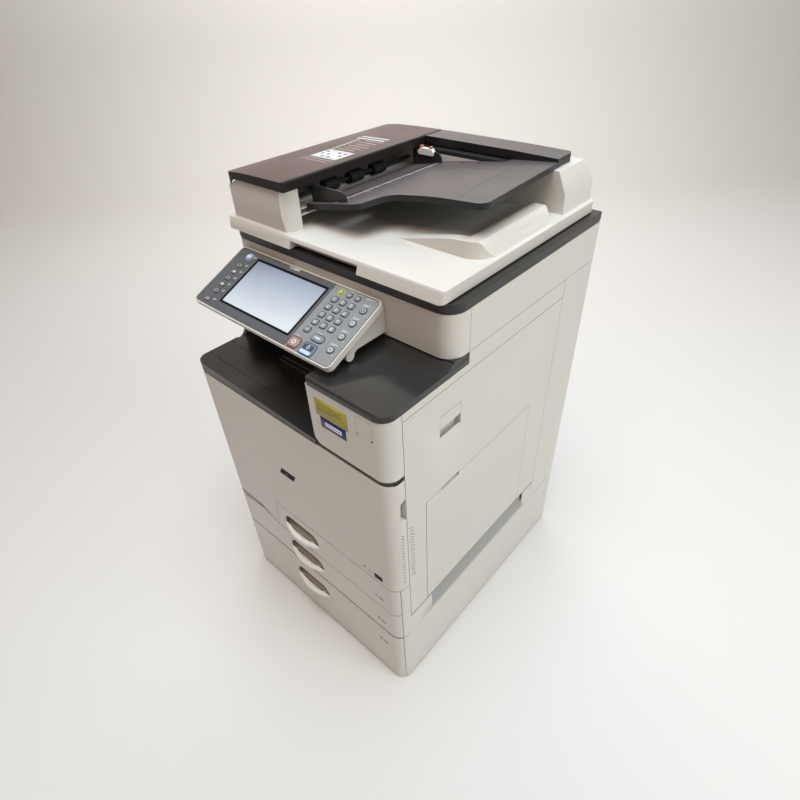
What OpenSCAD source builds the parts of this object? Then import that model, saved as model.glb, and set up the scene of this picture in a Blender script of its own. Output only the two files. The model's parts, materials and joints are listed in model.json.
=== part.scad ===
// Floor-standing multifunction copier: a two-tray engine on a one-tray paper bank, with a scanner,
// a document feeder, a tilting control panel, a front door, a right door and a bypass tray.
// X runs to the right, Y to the rear and Z up. The origin is on the floor under the middle.

/* [Body] */
// Width over the side covers
body_w = 587; // [560:1:640]
// Depth from the front face to the rear cover
body_d = 685; // [670:1:740]
// Radius of the upright front corners
front_r = 28; // [22:1:34]
// Radius of the upright rear corners
rear_r = 6; // [4:1:10]
// Wall of the plastic covers
cover_t = 2.5; // [2:0.1:3]
// Visible gap between neighbouring covers
seam = 1.5; // [1.2:0.1:2]
// Sheet steel of the inner frame
steel_t = 1.5; // [1.2:0.1:2]
// Depth of the door and column wrap on the side
wrap_d = 38; // [34:1:44]
// Depth of the tray front wrap on the side
tray_wrap = 13; // [9:1:16]

/* [Paper bank and trays] */
// Height of a levelling foot
foot_h = 5; // [4:0.5:10]
// Radius of a levelling foot
foot_r = 21; // [15:1:26]
// Height of the paper bank housing
bank_h = 191; // [186:1:210]
// Height of the recessed plinth over the bank
plinth_h = 3; // [2:0.5:5]
// Height step of the two engine trays
tray_pitch = 95.25; // [92:0.25:100]
// Body front face to the paper cassettes
cassette_y = 44; // [42:1:50]
// Depth of a paper cassette
cassette_d = 440; // [400:1:470]
// Height of a paper cassette
cassette_h = 60; // [50:1:64]
// Gap between a cassette flank and the side covers
cassette_side = 31.5; // [30:0.5:36]
// Width of the runner flange on a cassette
runner_w = 8; // [6:0.5:10]
// Depth of the bank tray front below its top edge
bank_front_h = 189; // [184:1:190]
// Travel of a tray
tray_travel = 380; // [300:5:400]

/* [Tray handle] */
// Width of the finger opening
grip_w = 128; // [100:1:140]
// Place of the handle left of the middle
grip_x = -20; // [-60:1:20]
// Tray top edge to the ends of the handle bar
grip_drop = 59; // [54:1:62]
// How far the bar bows out
grip_bow = 16; // [10:1:20]
// How far the bar sags
grip_sag = 3; // [2:0.5:5]
// Height of the finger opening over the bar ends
grip_arch = 37; // [32:1:40]
// Height of the bar
bar_h = 9; // [6:0.5:11]
// Thickness of the bar
bar_t = 8; // [6:0.5:10]

/* [Front door] */
// Height of the front door above the tray fronts
door_h = 317.5; // [305:0.5:330]
// How far the left part of the door reaches below its bottom edge
door_drop = 67; // [50:1:72]
// Left side to the slanted edge of the upper tray front at its top
door_step_x = 186.5; // [170:0.5:200]
// How far that edge slants
door_step_run = 13; // [8:1:18]
// Thickness of the door frame
door_frame_d = 16; // [12:1:20]
// Opening angle of the front door
door_open = 90; // [60:5:90]
// Height of the dark recess over the door
recess_h = 7; // [5:0.5:9]
// Radius of the door hinge knuckles
knuckle_r = 4; // [3.5:0.1:4.5]

/* [Right column and paper exit] */
// Left side to the right column
column_x = 401.5; // [380:0.5:420]
// Height of the column front cover
column_h = 134; // [125:1:145]
// Height of the dark cap on the column
cap_h = 13; // [10:0.5:16]
// Depth of the cap at the side
cap_d = 217; // [205:1:230]
// Dark gap between the cap and the scanner
scan_gap = 13; // [10:0.5:16]
// Height of the front lip of the exit tray at the column
lip_h = 9; // [7:0.5:11]
// Rise of the exit tray to the left
exit_rise = 12; // [8:1:18]
// Width of the exit unit beside the column
exit_unit_w = 216; // [180:1:230]
// Front face to the exit unit
exit_unit_y = 94; // [86:1:110]
// Height of the exit unit above the tray lip
exit_unit_h = 56; // [44:1:66]
// Front face to the left pillar
pillar_y = 137; // [125:1:150]
// Thickness of the left pillar
pillar_w = 18; // [14:1:24]

/* [Scanner] */
// Body front to the scanner front
scan_y = 169; // [160:1:176]
// Height of the scanner case
scan_h = 84; // [76:1:92]
// Height of the dark bezel
bezel_h = 20; // [16:1:24]
// Radius of the front corners of the scanner
scan_r = 35; // [28:1:42]
// Width of the main glass
glass_w = 440; // [420:1:450]
// Depth of the main glass
glass_d = 313; // [300:1:320]
// Thickness of the glass
glass_t = 3.5; // [3:0.1:4.5]
// Radius of the scanner guide rods
rod_r = 4; // [3:0.5:6]
// Running clearance of shafts and pins
run_fit = 0.05; // [0.03:0.01:0.1]
// Travel of the scan carriage
scan_travel = 420; // [380:5:430]

/* [Document feeder] */
// Gap from the bezel to the feeder base
lid_gap = 3; // [2.5:0.1:5]
// Height of the feeder base
base_h = 22; // [19:0.5:26]
// Height of the feeder above its base
feeder_h = 97; // [92:1:104]
// Left side to the left edge of the feeder
feeder_left = 5.5; // [4:0.5:10]
// Right side to the right edge of the base
feeder_right = 15.5; // [12:0.5:24]
// Body front to the feeder front
feeder_y = 157; // [150:1:162]
// Depth of the feeder
feeder_d = 515; // [500:1:516]
// Inward lean of the left side of the feeder up to the feed cover
feed_lean = 9; // [6:0.5:12]
// Width of the feed cover
feed_w = 186; // [180:1:200]
// Thickness of the feed cover edge
feed_edge = 18; // [15:1:21]
// Gap between the feed cover and the input tray
feed_gap = 2.5; // [2:0.1:4]
// Depth of the front housing of the feeder
housing_d = 35; // [30:1:42]
// Depth of the rear housing of the feeder
rear_housing_d = 116; // [112:1:130]
// Opening angle of the feeder
feeder_open = 60; // [40:5:70]
// Opening angle of the feed cover
feed_open = 70; // [45:5:80]
// Lifting angle of the input tray
tray_lift = 25; // [15:1:28]
// Inward travel of each side fence
fence_travel = 80; // [60:5:100]

/* [Control panel] */
// Width of the control panel
panel_w = 404; // [396:1:430]
// Height of the control panel along its face
panel_l = 157; // [154:1:165]
// Thickness of the control panel
panel_t = 13; // [11:0.5:15]
// Slope of the panel face
panel_slope = 24; // [22:1:26]
// Left side to the panel
panel_x = 38.5; // [30:0.5:50]
// Body front to the lower edge of the panel face
panel_y = 19.5; // [17:0.5:26]
// Height of the lower edge of the panel face over the column cap
panel_rise = 21; // [19:0.5:26]
// Corner radius of the panel
panel_r = 12; // [9:0.5:16]
// Forward tilt of the panel
panel_tilt = 8; // [4:1:9]
// Width of the touch screen
screen_w = 206; // [190:1:212]
// Height of the touch screen
screen_h = 113; // [105:1:118]
// Width of a keypad key
key_w = 13; // [10:0.5:15]
// Height of a keypad key
key_h = 11; // [9:0.5:13]
// Travel of a key
key_travel = 1.2; // [0.8:0.1:1.4]

/* [Right side] */
// Body front to the rear edge of the right door
right_door_y = 558; // [540:1:575]
// Height of the right door bottom above the bank
right_door_rise = 66; // [60:1:72]
// Height of the cover strip above the right door
top_strip_h = 41; // [34:1:46]
// Thickness of the right door rim
right_rim = 14; // [12.5:0.5:15]
// Depth of the duplex unit inside the right door
duplex_d = 26; // [20:1:28]
// Body front to the bypass tray
bypass_y = 96; // [90:1:110]
// Length of the bypass tray along the side
bypass_l = 379; // [350:1:390]
// Height of the bypass tray
bypass_h = 330; // [300:1:340]
// Thickness of the bypass tray
bypass_t = 10; // [8:0.5:11]
// Opening angle of the right door
right_open = 50; // [30:5:50]
// Opening angle of the bypass tray
bypass_open = 70; // [45:5:70]

/* [Hidden] */
$fn = 64;

white = [0.86, 0.85, 0.82];
charcoal = [0.24, 0.24, 0.25];
black = [0.07, 0.07, 0.08];
steel = [0.66, 0.67, 0.69];
key_grey = [0.55, 0.57, 0.59];

eps = 0.01;
slip = 0.3;                       // clearance between pieces that move past each other
far = 2000;                       // longer than anything, for cutting blocks
hw = body_w / 2;
front_out = grip_bow;             // the handle bars stand this far out of the front face
inlet_out = 2;                    // the power inlet stands this far out of the rear cover
front_y = -(body_d + inlet_out - front_out) / 2;

// heights
bank_z1 = foot_h + bank_h;
main_z = bank_z1 + plinth_h;
tray2_z = main_z;
tray1_z = main_z + tray_pitch;
door_z = main_z + 2 * tray_pitch;
door_z1 = door_z + door_h;
lip_z = door_z1 + recess_h;
floor_z = lip_z + lip_h;          // exit tray surface at the column
column_z = door_z1 + 2 * recess_h;
cap_z = column_z + column_h;
cap_z1 = cap_z + cap_h;
scan_z = cap_z1 + scan_gap;
bezel_z = scan_z + scan_h;
bezel_z1 = bezel_z + bezel_h;
base_z = bezel_z1 + lid_gap;
base_z1 = base_z + base_h;
feeder_z1 = base_z1 + feeder_h;
housing_z1 = feeder_z1 - feed_edge - 1.2;

// inner frame
frame_x = hw - cover_t;                       // inner face of the side covers
deck_z = lip_z - 8;                           // sheet deck that carries the exit tray
bulkhead_y = cassette_y;                      // front bulkhead of the engine
rear_plate_y = body_d - 35;
right_low_x = hw - right_rim - 4;             // right frame plate beside the trays
right_up_x = hw - right_rim - duplex_d - 6;   // right frame plate beside the duplex unit
shelf_z = door_z + 2;
left_plate_y = wrap_d + 3 * knuckle_r;

// ---- helpers ----

module block(x, y, z)
  translate([x[0], y[0], z[0]]) cube([x[1] - x[0], y[1] - y[0], z[1] - z[0]]);

module place() translate([0, front_y, 0]) children();

// square with its own radius at each corner: front left, front right, rear right, rear left
module round_rect(x, y, r) {
  corners = [[x[0], y[0], 0], [x[1], y[0], 90], [x[1], y[1], 180], [x[0], y[1], 270]];
  difference() {
    translate([x[0], y[0]]) square([x[1] - x[0], y[1] - y[0]]);
    for (i = [0:3]) if (r[i] > 0)
      translate([corners[i][0], corners[i][1]]) rotate(corners[i][2]) difference() {
        translate([-1, -1]) square(r[i] + 1);
        translate([r[i], r[i]]) circle(r[i]);
      }
  }
}

module outline(inset = 0)
  round_rect([-hw + inset, hw - inset], [inset, body_d - inset],
    [front_r - inset, front_r - inset, rear_r - inset, rear_r - inset]);

// upright skin that follows the footprint
module band(z, y, t = cover_t)
  intersection() {
    translate([0, 0, z[0]]) linear_extrude(z[1] - z[0]) difference() {
      outline();
      outline(t);
    }
    block([-hw - 1, hw + 1], y, z);
  }

// level plate that follows the footprint
module deck(z, y, inset = 0)
  intersection() {
    translate([0, 0, z[0]]) linear_extrude(z[1] - z[0]) outline(inset);
    block([-hw - 1, hw + 1], y, z);
  }

// outline in X and Z, extruded along Y
module prism_y(points, y)
  translate([0, y[1], 0]) rotate([90, 0, 0]) linear_extrude(y[1] - y[0]) polygon(points);

// outline in Y and Z, extruded along X
module prism_x(points, x)
  translate([x[0], 0, 0]) rotate([90, 0, 90]) linear_extrude(x[1] - x[0]) polygon(points);

module shape_y(y)
  translate([0, y[1], 0]) rotate([90, 0, 0]) linear_extrude(y[1] - y[0]) children();

module rod_x(y, z, r, x) translate([x[0], y, z]) rotate([0, 90, 0]) cylinder(r = r, h = x[1] - x[0]);
module rod_y(x, z, r, y) translate([x, y[0], z]) rotate([-90, 0, 0]) cylinder(r = r, h = y[1] - y[0]);
module rod_z(x, y, r, z) translate([x, y, z[0]]) cylinder(r = r, h = z[1] - z[0]);

function arc(cx, cy, r, a0, a1, n = 8) =
  [for (i = [0:n]) [cx + r * cos(a0 + (a1 - a0) * i / n), cy + r * sin(a0 + (a1 - a0) * i / n)]];

// circle radius from a chord and its rise
function chord_r(w, rise) = (w * w / 4 + rise * rise) / (2 * rise);

// ---- paper bank and trays ----

flange_z = cassette_h + 6;        // top of the runner flanges above the tray bottom edge
flange_t = 2;
rail_h = 12;
cassette_x = hw - cassette_side;
bank_tray_z = bank_z1 - tray_pitch;           // the bank cassette hangs in the top of the bank
housing_y = tray_wrap + seam;

module tray_rails(z, left_x, right_x, x0 = -cassette_x)
  for (side = [[left_x, x0 - slip - 0.5], [cassette_x + slip + 0.5, right_x]])
    block(side, [cassette_y + 6, cassette_y + cassette_d],
      [z + flange_z - flange_t - slip - rail_h, z + flange_z - flange_t - slip]);

module bank_housing() color(white) place() {
  difference() {
    union() {
      band([foot_h, bank_z1], [housing_y, body_d + 1]);
      deck([bank_z1 - cover_t, bank_z1], [housing_y, body_d], cover_t);
      deck([foot_h, foot_h + cover_t], [housing_y, body_d], cover_t);
    }
    // pull slots low on the rear wall
    for (x = [-hw / 2, hw / 2])
      block([x - 35, x + 35], [body_d - 2 * cover_t, body_d + 1], [foot_h + 90, foot_h + 105]);
  }
  tray_rails(bank_tray_z, -frame_x, frame_x);
}

module levelling_feet() color(black) place()
  for (x = [-1, 1], y = [70, body_d - 60])
    translate([x * (hw - 60), y, 0]) {
      cylinder(r = foot_r, h = foot_h - 2);
      cylinder(r = foot_r * 0.6, h = foot_h);
    }

module cassette(z, x0 = -cassette_x) {
  x = cassette_x;
  y = [cassette_y, cassette_y + cassette_d];
  floor = z + 6;
  difference() {
    union() {
      block([x0, x], y, [floor, floor + cassette_h]);
      block([x0 - runner_w, x + runner_w], [y[0] + 6, y[1]],
        [z + flange_z - flange_t, z + flange_z]);
    }
    block([x0 + cover_t, x - cover_t], [y[0] + cover_t, y[1] - cover_t],
      [floor + cover_t, floor + cassette_h + 1]);
  }
  // sheet lift plate on the cassette floor
  block([x0 + 12, x - 12], [y[0] + 12, y[1] - 12], [floor + cover_t, floor + cover_t + steel_t]);
  // two side fences and one end fence stand on the lift plate
  fence_z = [floor + cover_t + steel_t, floor + cassette_h - 8];
  for (fy = [y[0] + 40, y[1] - 50])
    block([-60, 60], [fy, fy + 4], fence_z);
  block([x0 + 40, x0 + 44], [y[0] + 140, y[0] + 260], fence_z);
}

module grip_opening(z_end, y) {
  x = grip_w / 2 - bar_t / 2;
  r = 22;
  shape_y(y) translate([grip_x, z_end])
    polygon([[-x, -grip_sag], [x, -grip_sag], each arc(x - r, grip_arch - r, r, 0, 90),
      each arc(r - x, grip_arch - r, r, 90, 180)]);
}

// section of the finger scoop behind the opening: depth and height, grown by a wall
function scoop(z_end, wall) = [[cover_t - eps - wall / 2, z_end + grip_arch + wall],
  [11 + wall, z_end + 0.6 * grip_arch + wall], [18 + wall, z_end + 6 + wall / 2],
  [22 + wall, z_end - grip_sag - wall], [cover_t - eps - wall / 2, z_end - grip_sag - wall]];

module grip_bar(z_end) {
  r = chord_r(grip_w, grip_sag);
  plan_r = chord_r(grip_w, grip_bow);
  reach = grip_w / 2 + 2;
  intersection() {
    shape_y([-grip_bow - 1, 0.7 * cover_t]) translate([grip_x, z_end - grip_sag + r]) difference() {
      circle(r + 1, $fn = 192);
      circle(r - bar_h, $fn = 192);
    }
    translate([grip_x, plan_r - grip_bow, z_end - grip_sag - 2]) linear_extrude(grip_sag + 2 * bar_h) difference() {
      circle(plan_r, $fn = 96);
      circle(plan_r - bar_t, $fn = 96);
    }
    block([grip_x - reach, grip_x + reach], [-grip_bow - 2, 0.7 * cover_t],
      [z_end - grip_sag - 2, z_end + 2 * bar_h]);
  }
}

// tray front between two heights, less the areas given by children
module tray_front(z, grip_top, post_x) translate([0, 0, z[0]]) {
  h = z[1] - z[0];
  grip_h = grip_top - z[0];
  z_end = grip_h - grip_drop;
  reach = [grip_x - grip_w / 2 - 3, grip_x + grip_w / 2 + 3];
  difference() {
    union() {
      band([0, h], [-1, tray_wrap]);
      deck([0, cover_t], [cover_t / 2, tray_wrap - 1], cover_t / 2);
      deck([h - cover_t, h], [cover_t / 2, tray_wrap - 1], cover_t / 2);
      prism_x(scoop(z_end, 2), reach);
    }
    grip_opening(z_end, [-1, cover_t + 1]);
    prism_x(scoop(z_end, 0), [reach[0] + 2, reach[1] - 2]);
    translate([0, 0, -z[0]]) children();
  }
  grip_bar(z_end);
  // posts that carry the front on the cassette
  for (x = [post_x, cassette_x - 30])
    block([x - 12, x + 12], [0.7 * cover_t, cassette_y], [grip_h - 76, grip_h - 46]);
}

// the parting line between the door, the upper tray front and the lower tray front, from the left
step_x = -hw + door_step_x;
drop_z = door_z - door_drop;
tray1_x0 = step_x - door_step_run / 2 + runner_w + 4;   // the upper cassette passes beside the step in the door

module tray_1_cassette() color(white) place() cassette(tray1_z, tray1_x0);
module tray_2_cassette() color(white) place() cassette(tray2_z);
module tray_3_cassette() color(white) place() cassette(bank_tray_z);

module tray_1_front() color(white) place()
  tray_front([tray1_z, door_z - seam], door_z - seam, grip_x + 120)
    prism_y([[-hw - 1, tray1_z - 1], [step_x - door_step_run + seam, tray1_z - 1],
      [step_x - door_step_run + seam, tray1_z], [step_x + seam, door_z], [-hw - 1, door_z]],
      [-50, cassette_y + 1]);

module tray_2_front() color(white) place()
  tray_front([tray2_z, drop_z], tray1_z - seam, -cassette_x + 60)
    prism_y([[step_x - 80, drop_z - 7], [step_x - door_step_run - 2, tray1_z - seam], [hw + 1, tray1_z - seam],
      [hw + 1, drop_z + 1], [-hw - 1, drop_z + 1], [-hw - 1, drop_z - 7]], [-50, cassette_y + 1]);

module tray_3_front() color(white) place()
  tray_front([bank_z1 - bank_front_h, bank_z1 - 1], bank_z1 - 19, -cassette_x + 60);

// ---- inner frame ----

bottle_r = 38;
bottle_z = door_z + 245;
bottle_x = [for (i = [0:3]) -hw + 72 + i * 96];
drum_r = 15;
drum_z = door_z + 120;
fuser_x = right_up_x - 24;
fuser_z = cap_z - 60;
shaft_r = 4;

module frame_window(x, y, z) block([x - 5, x + 5], y, z);

module main_chassis() color(steel) place() {
  difference() {
    union() {
      deck([bank_z1, main_z], [6, body_d], 5);
      // left frame plate, and its upper part beside the pillar
      block([-frame_x, -frame_x + steel_t], [left_plate_y, rear_plate_y + steel_t], [main_z, deck_z]);
      block([-frame_x, -frame_x + steel_t], [pillar_y + 3, rear_plate_y + steel_t], [deck_z, scan_z]);
      // rear frame plate
      block([-frame_x, right_up_x], [rear_plate_y, rear_plate_y + steel_t], [main_z, scan_z]);
      // rear stays that carry the rear cover
      for (x = [-hw / 2, hw / 4])
        block([x - 10, x + 10], [rear_plate_y, body_d - cover_t], [door_z, door_z + 20]);
      // right frame plates
      block([right_low_x - steel_t, right_low_x], [cassette_y + 6, rear_plate_y], [main_z, shelf_z]);
      block([right_up_x - steel_t, right_up_x], [bulkhead_y, rear_plate_y], [shelf_z, cap_z]);
      block([right_up_x - steel_t, right_up_x], [cap_d + 2, rear_plate_y], [cap_z - eps, scan_z]);
      block([right_up_x - steel_t, right_low_x], [cassette_y + 6, rear_plate_y],
        [shelf_z - steel_t, shelf_z]);
      // rear right post that carries the right covers
      block([right_up_x - steel_t, frame_x], [right_door_y + 12, right_door_y + 12 + steel_t],
        [main_z, scan_z]);
      // front bulkhead, engine shelf and exit deck
      block([knuckle_x + knuckle_r + 2, right_up_x], [bulkhead_y, bulkhead_y + steel_t], [shelf_z, deck_z]);
      block([-frame_x + steel_t, right_up_x], [bulkhead_y, rear_plate_y], [shelf_z - steel_t, shelf_z]);
      block([-frame_x, right_up_x], [bulkhead_y, rear_plate_y], [deck_z - steel_t, deck_z]);
      // column post and head plate under the scanner
      block([-hw + column_x + 8, right_up_x], [bulkhead_y, bulkhead_y + steel_t], [deck_z, cap_z]);
      block([-hw + column_x + 8, right_up_x], [bulkhead_y, cap_d], [cap_z - steel_t, cap_z]);
    }
    // toner bottle ports and drum windows in the front bulkhead
    for (x = bottle_x) rod_y(x, bottle_z, bottle_r + slip, [bulkhead_y - 1, bulkhead_y + steel_t + 1]);
    for (x = bottle_x) rod_y(x, drum_z, shaft_r + run_fit, [bulkhead_y - 1, rear_plate_y + steel_t + 1]);
    rod_y(fuser_x, fuser_z, shaft_r + run_fit, [bulkhead_y - 1, rear_plate_y + steel_t + 1]);
    // paper path windows in the right plates
    frame_window(right_up_x, [bulkhead_y + 40, rear_plate_y - 60], [shelf_z + 40, deck_z - 40]);
    frame_window(right_up_x, [bulkhead_y + 40, rear_plate_y - 150], [deck_z + 20, cap_z - 20]);
    // windows in the rear plate
    for (x = [-hw / 2, hw / 4])
      block([x - 50, x + 50], [rear_plate_y - 1, rear_plate_y + 5], [shelf_z + 200, shelf_z + 270]);
  }
  tray_rails(tray2_z, -frame_x + steel_t, right_low_x - steel_t);
  tray_rails(tray1_z, tray1_x0 - runner_w, right_low_x - steel_t, tray1_x0);
  // sheet shelf that carries the left rail of the upper cassette
  rail_top = tray1_z + flange_z - flange_t - slip;
  block([-frame_x, tray1_x0 - runner_w + eps], [cassette_y + 6, cassette_y + cassette_d], [rail_top - steel_t, rail_top]);
  door_hinge_posts();
}

knuckle_x = -hw + knuckle_r;
knuckle_y = wrap_d + knuckle_r;
knuckle_h = 22;
hinge_z = [door_z + 20, door_z + door_h - 70];

module door_hinge_posts()
  for (z = hinge_z) {
    rod_z(knuckle_x, knuckle_y, knuckle_r, [z, z + knuckle_h]);
    rod_z(knuckle_x, knuckle_y, knuckle_r / 2, [z, z + 2 * knuckle_h]);
    block([-frame_x, -frame_x + steel_t + 1], [knuckle_y, left_plate_y + 1], [z, z + knuckle_h]);
  }

module toner_bottles() color(black) place()
  for (x = bottle_x) difference() {
    union() {
      rod_y(x, bottle_z, bottle_r, [36, 400]);
      rod_y(x, bottle_z, bottle_r * 0.5, [26, 36]);
      rod_y(x, bottle_z, bottle_r * 0.3, [400, 412]);
    }
    // spiral ribs read as ring grooves
    for (y = [80:40:380]) difference() {
      rod_y(x, bottle_z, bottle_r + 1, [y, y + 8]);
      rod_y(x, bottle_z, bottle_r - 2.5, [y - 1, y + 9]);
    }
  }

module drum_units() color("darkslategray") place()
  for (x = bottle_x) {
    rod_y(x, drum_z, drum_r, [bulkhead_y + 14, rear_plate_y - 20]);
    rod_y(x, drum_z, shaft_r, [bulkhead_y - 6, bulkhead_y + 14]);
    rod_y(x, drum_z, shaft_r, [rear_plate_y - 20, rear_plate_y + 6]);
  }

module fuser_roller() color("firebrick") place() {
  rod_y(fuser_x, fuser_z, 14, [bulkhead_y + 16, rear_plate_y - 40]);
  rod_y(fuser_x, fuser_z, shaft_r, [bulkhead_y - 4, bulkhead_y + 16]);
  rod_y(fuser_x, fuser_z, shaft_r, [rear_plate_y - 40, rear_plate_y + 6]);
}

// ---- outer covers ----

vent_n = 18;
vent_pitch = 9;

// a ladder of short slanted slots on a side face
module side_vents(x, y, z, sign)
  for (i = [0:vent_n - 1])
    translate([x, (y[0] + y[1]) / 2, z + i * vent_pitch]) rotate([sign * 35, 0, 0])
      cube([3 * cover_t, y[1] - y[0], 2], center = true);

low_cover_z = main_z + right_door_rise - 3.5;     // top of the fixed lower cover on the right

module left_cover() color(white) place() {
  fillet = 22;
  top = floor_z + exit_rise - 2;
  difference() {
    band([main_z, scan_z - seam], [-1, rear_wrap_y - seam]);
    block([0, hw + 1], [-2, body_d], [0, far]);
    prism_x([[-far, main_z - 1], [housing_y, main_z - 1], [housing_y, drop_z - 6 - seam], [left_plate_y - 1, drop_z - 6 - seam],
      [left_plate_y - 1, top], each arc(pillar_y - fillet, top + fillet, fillet, -90, 0),
      [pillar_y, far], [-far, far]], [-hw - 1, 0]);
    // hand grip and vent slots
    for (i = [0:11])
      block([-hw - 1, -hw + 2 * cover_t], [420 + i * 12, 424 + i * 12], [door_z + 60, door_z + 120]);
    block([-hw - 1, -hw + 2 * cover_t], [260, 350], [door_z - 70, door_z - 45]);
  }
}

rear_wrap_y = body_d - 40;

module rear_cover() color(white) place() {
  inlet_x = -hw + 70;
  difference() {
    band([main_z, scan_z - seam], [right_door_y + seam, body_d + 1]);
    block([-hw - 1, 0], [0, rear_wrap_y], [0, far]);
    block([inlet_x - 24 - slip, inlet_x + 24 + slip], [body_d - 10, body_d + 1],
      [inlet_z - 14 - slip, inlet_z + 14 + slip]);
    // exhaust slots
    for (i = [0:13], j = [0, 1])
      block([-hw + 90 + i * 14, -hw + 96 + i * 14], [body_d - 10, body_d + 1],
        [door_z + 150 + j * 60, door_z + 200 + j * 60]);
    for (i = [0:9])
      block([hw - 200, hw - 90], [body_d - 10, body_d + 1], [door_z - 60 + i * 12, door_z - 55 + i * 12]);
    // the seam of the rear right cover
    block([hw - 0.8, hw + 1], [body_d - 47, body_d - 46], [main_z, far]);
  }
}

module right_top_cover() color(white) place()
  difference() {
    band([scan_z - top_strip_h, scan_z - seam], [wrap_d + seam, right_door_y]);
    block([-hw - 1, 0], [0, body_d], [0, far]);
    block([0, hw + 1], [0, cap_d + seam], [cap_z - slip, far]);
  }

module right_lower_cover() color(white) place() {
  recess = [112, 511];
  recess_z = [main_z + 3.5, low_cover_z];
  deep = 14;
  difference() {
    union() {
      band([main_z, low_cover_z], [housing_y, right_door_y]);
      band([main_z, door_z - seam], [housing_y, wrap_d]);
      // sloped floor of the recess and its two ends
      prism_y([[hw - cover_t, recess_z[0] - 3], [hw - eps, recess_z[0]], [hw - deep, recess_z[1]],
        [hw - deep - 2, recess_z[1]], [hw - deep - 2, recess_z[1] - 4]],
        [recess[0] - 2, recess[1] + 2]);
      for (y = [recess[0] - 2, recess[1]])
        prism_y([[hw - cover_t, recess_z[0] - 3], [hw - eps, recess_z[0] - 3], [hw - eps, recess_z[1]],
          [hw - deep - 2, recess_z[1]], [hw - deep - 2, recess_z[1] - 4]], [y, y + 2]);
    }
    block([-hw - 1, 0], [0, body_d], [0, far]);
    // the recess itself
    prism_y([[hw + 1, recess_z[0]], [hw, recess_z[0]], [hw - deep, recess_z[1]], [hw - deep, recess_z[1] + 1],
      [hw + 1, recess_z[1] + 1]], recess);
  }
  // foot that stands on the plinth
  block([frame_x - 12, frame_x], [housing_y + 14, right_door_y - 10], [main_z, main_z + 2]);
}

module column_front_cover() color(white) place() {
  x0 = -hw + column_x;
  lower_r = 20;
  difference() {
    union() {
      band([column_z, cap_z], [-1, wrap_d]);
      block([x0, x0 + cover_t], [1, 30], [column_z, cap_z]);
    }
    block([-hw - 1, x0], [-2, body_d], [0, far]);
    // rounded lower left corner
    shape_y([-1, 32]) difference() {
      translate([x0 - 1, column_z - 1]) square(lower_r + 1);
      translate([x0 + lower_r, column_z + lower_r]) circle(lower_r);
    }
    switch_hole();
  }
  // floor of the power switch well, with the rocker standing on it
  difference() {
    block([switch_x[0] - 2, switch_x[1] + 2], [cover_t, 16], [switch_z[0] - 2, switch_z[1] + 2]);
    block([switch_x[0], switch_x[1]], [cover_t - 1, 14], [switch_z[0], switch_z[1]]);
  }
  block([switch_x[0] + 10, switch_x[1] - 10], [9, 14], [switch_z[0] + 12, switch_z[1] - 12]);
  // pivots of the flap
  rod_x(flap_y, flap_z, 0.7, [switch_x[0] - 1, switch_x[0] + 2.6]);
  rod_x(flap_y, flap_z, 0.7, [switch_x[1] - 2.6, switch_x[1] + 1]);
  // tie plate to the frame
  block([x0 + 40, right_up_x - 20], [cover_t, bulkhead_y], [cap_z - 10, cap_z - 8]);
}

switch_x = [hw - 67.5, hw - 30.5];
switch_z = [cap_z - 51, cap_z - 9];

module switch_hole() block(switch_x, [-1, cover_t + 1], switch_z);

module power_switch_cover() color(white) place() {
  g = 0.6;
  x = [switch_x[0] + g, switch_x[1] - g];
  z = [switch_z[0] + g, flap_z];
  cut = 6;
  difference() {
    union() {
      prism_y([[x[0] + cut, z[0]], [x[1] - cut, z[0]], [x[1], z[0] + cut], [x[1], z[1]], [x[0], z[1]], [x[0], z[0] + cut]],
        [0, 2]);
      rod_x(flap_y, flap_z, flap_y, x);
    }
    // finger dent
    rod_y(x[0] + 8, z[0] + 8, 3, [-1, 0.8]);
    rod_x(flap_y, flap_z, 0.7 + run_fit, [x[0] - 1, x[0] + 3]);
    rod_x(flap_y, flap_z, 0.7 + run_fit, [x[1] - 3, x[1] + 1]);
  }
}

// pivot line of the flap
flap_y = 1.25;
flap_z = switch_z[1] - 1.9;

module column_top_cover() color(charcoal) place() {
  x0 = -hw + column_x;
  over = 1.5;
  edge_r = 4;
  intersection() {
    union() {
      translate([0, 0, cap_z]) linear_extrude(cap_h)
        round_rect([x0 - 1, hw - 0.5], [-over, cap_d], [10, front_r, 1, 1]);
      // riser under the scanner
      block([x0 + 10, hw - 1], [scan_y + 5, cap_d - 1], [cap_z1 - eps, scan_z]);
      prism_x([[scan_y - 14, cap_z1 - eps], [scan_y + 5, cap_z1 + scan_gap - 3], [scan_y + 5, cap_z1 - eps]],
        [x0 + 10, hw - 1]);
    }
    // round the front edge
    union() {
      block([-hw, hw], [-over - 1 + edge_r, body_d], [0, far]);
      block([-hw, hw], [-over - 1, body_d], [0, cap_z1 - edge_r]);
      rod_x(-over + edge_r, cap_z1 - edge_r, edge_r, [-hw, hw]);
    }
  }
}

// ---- exit tray ----

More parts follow.
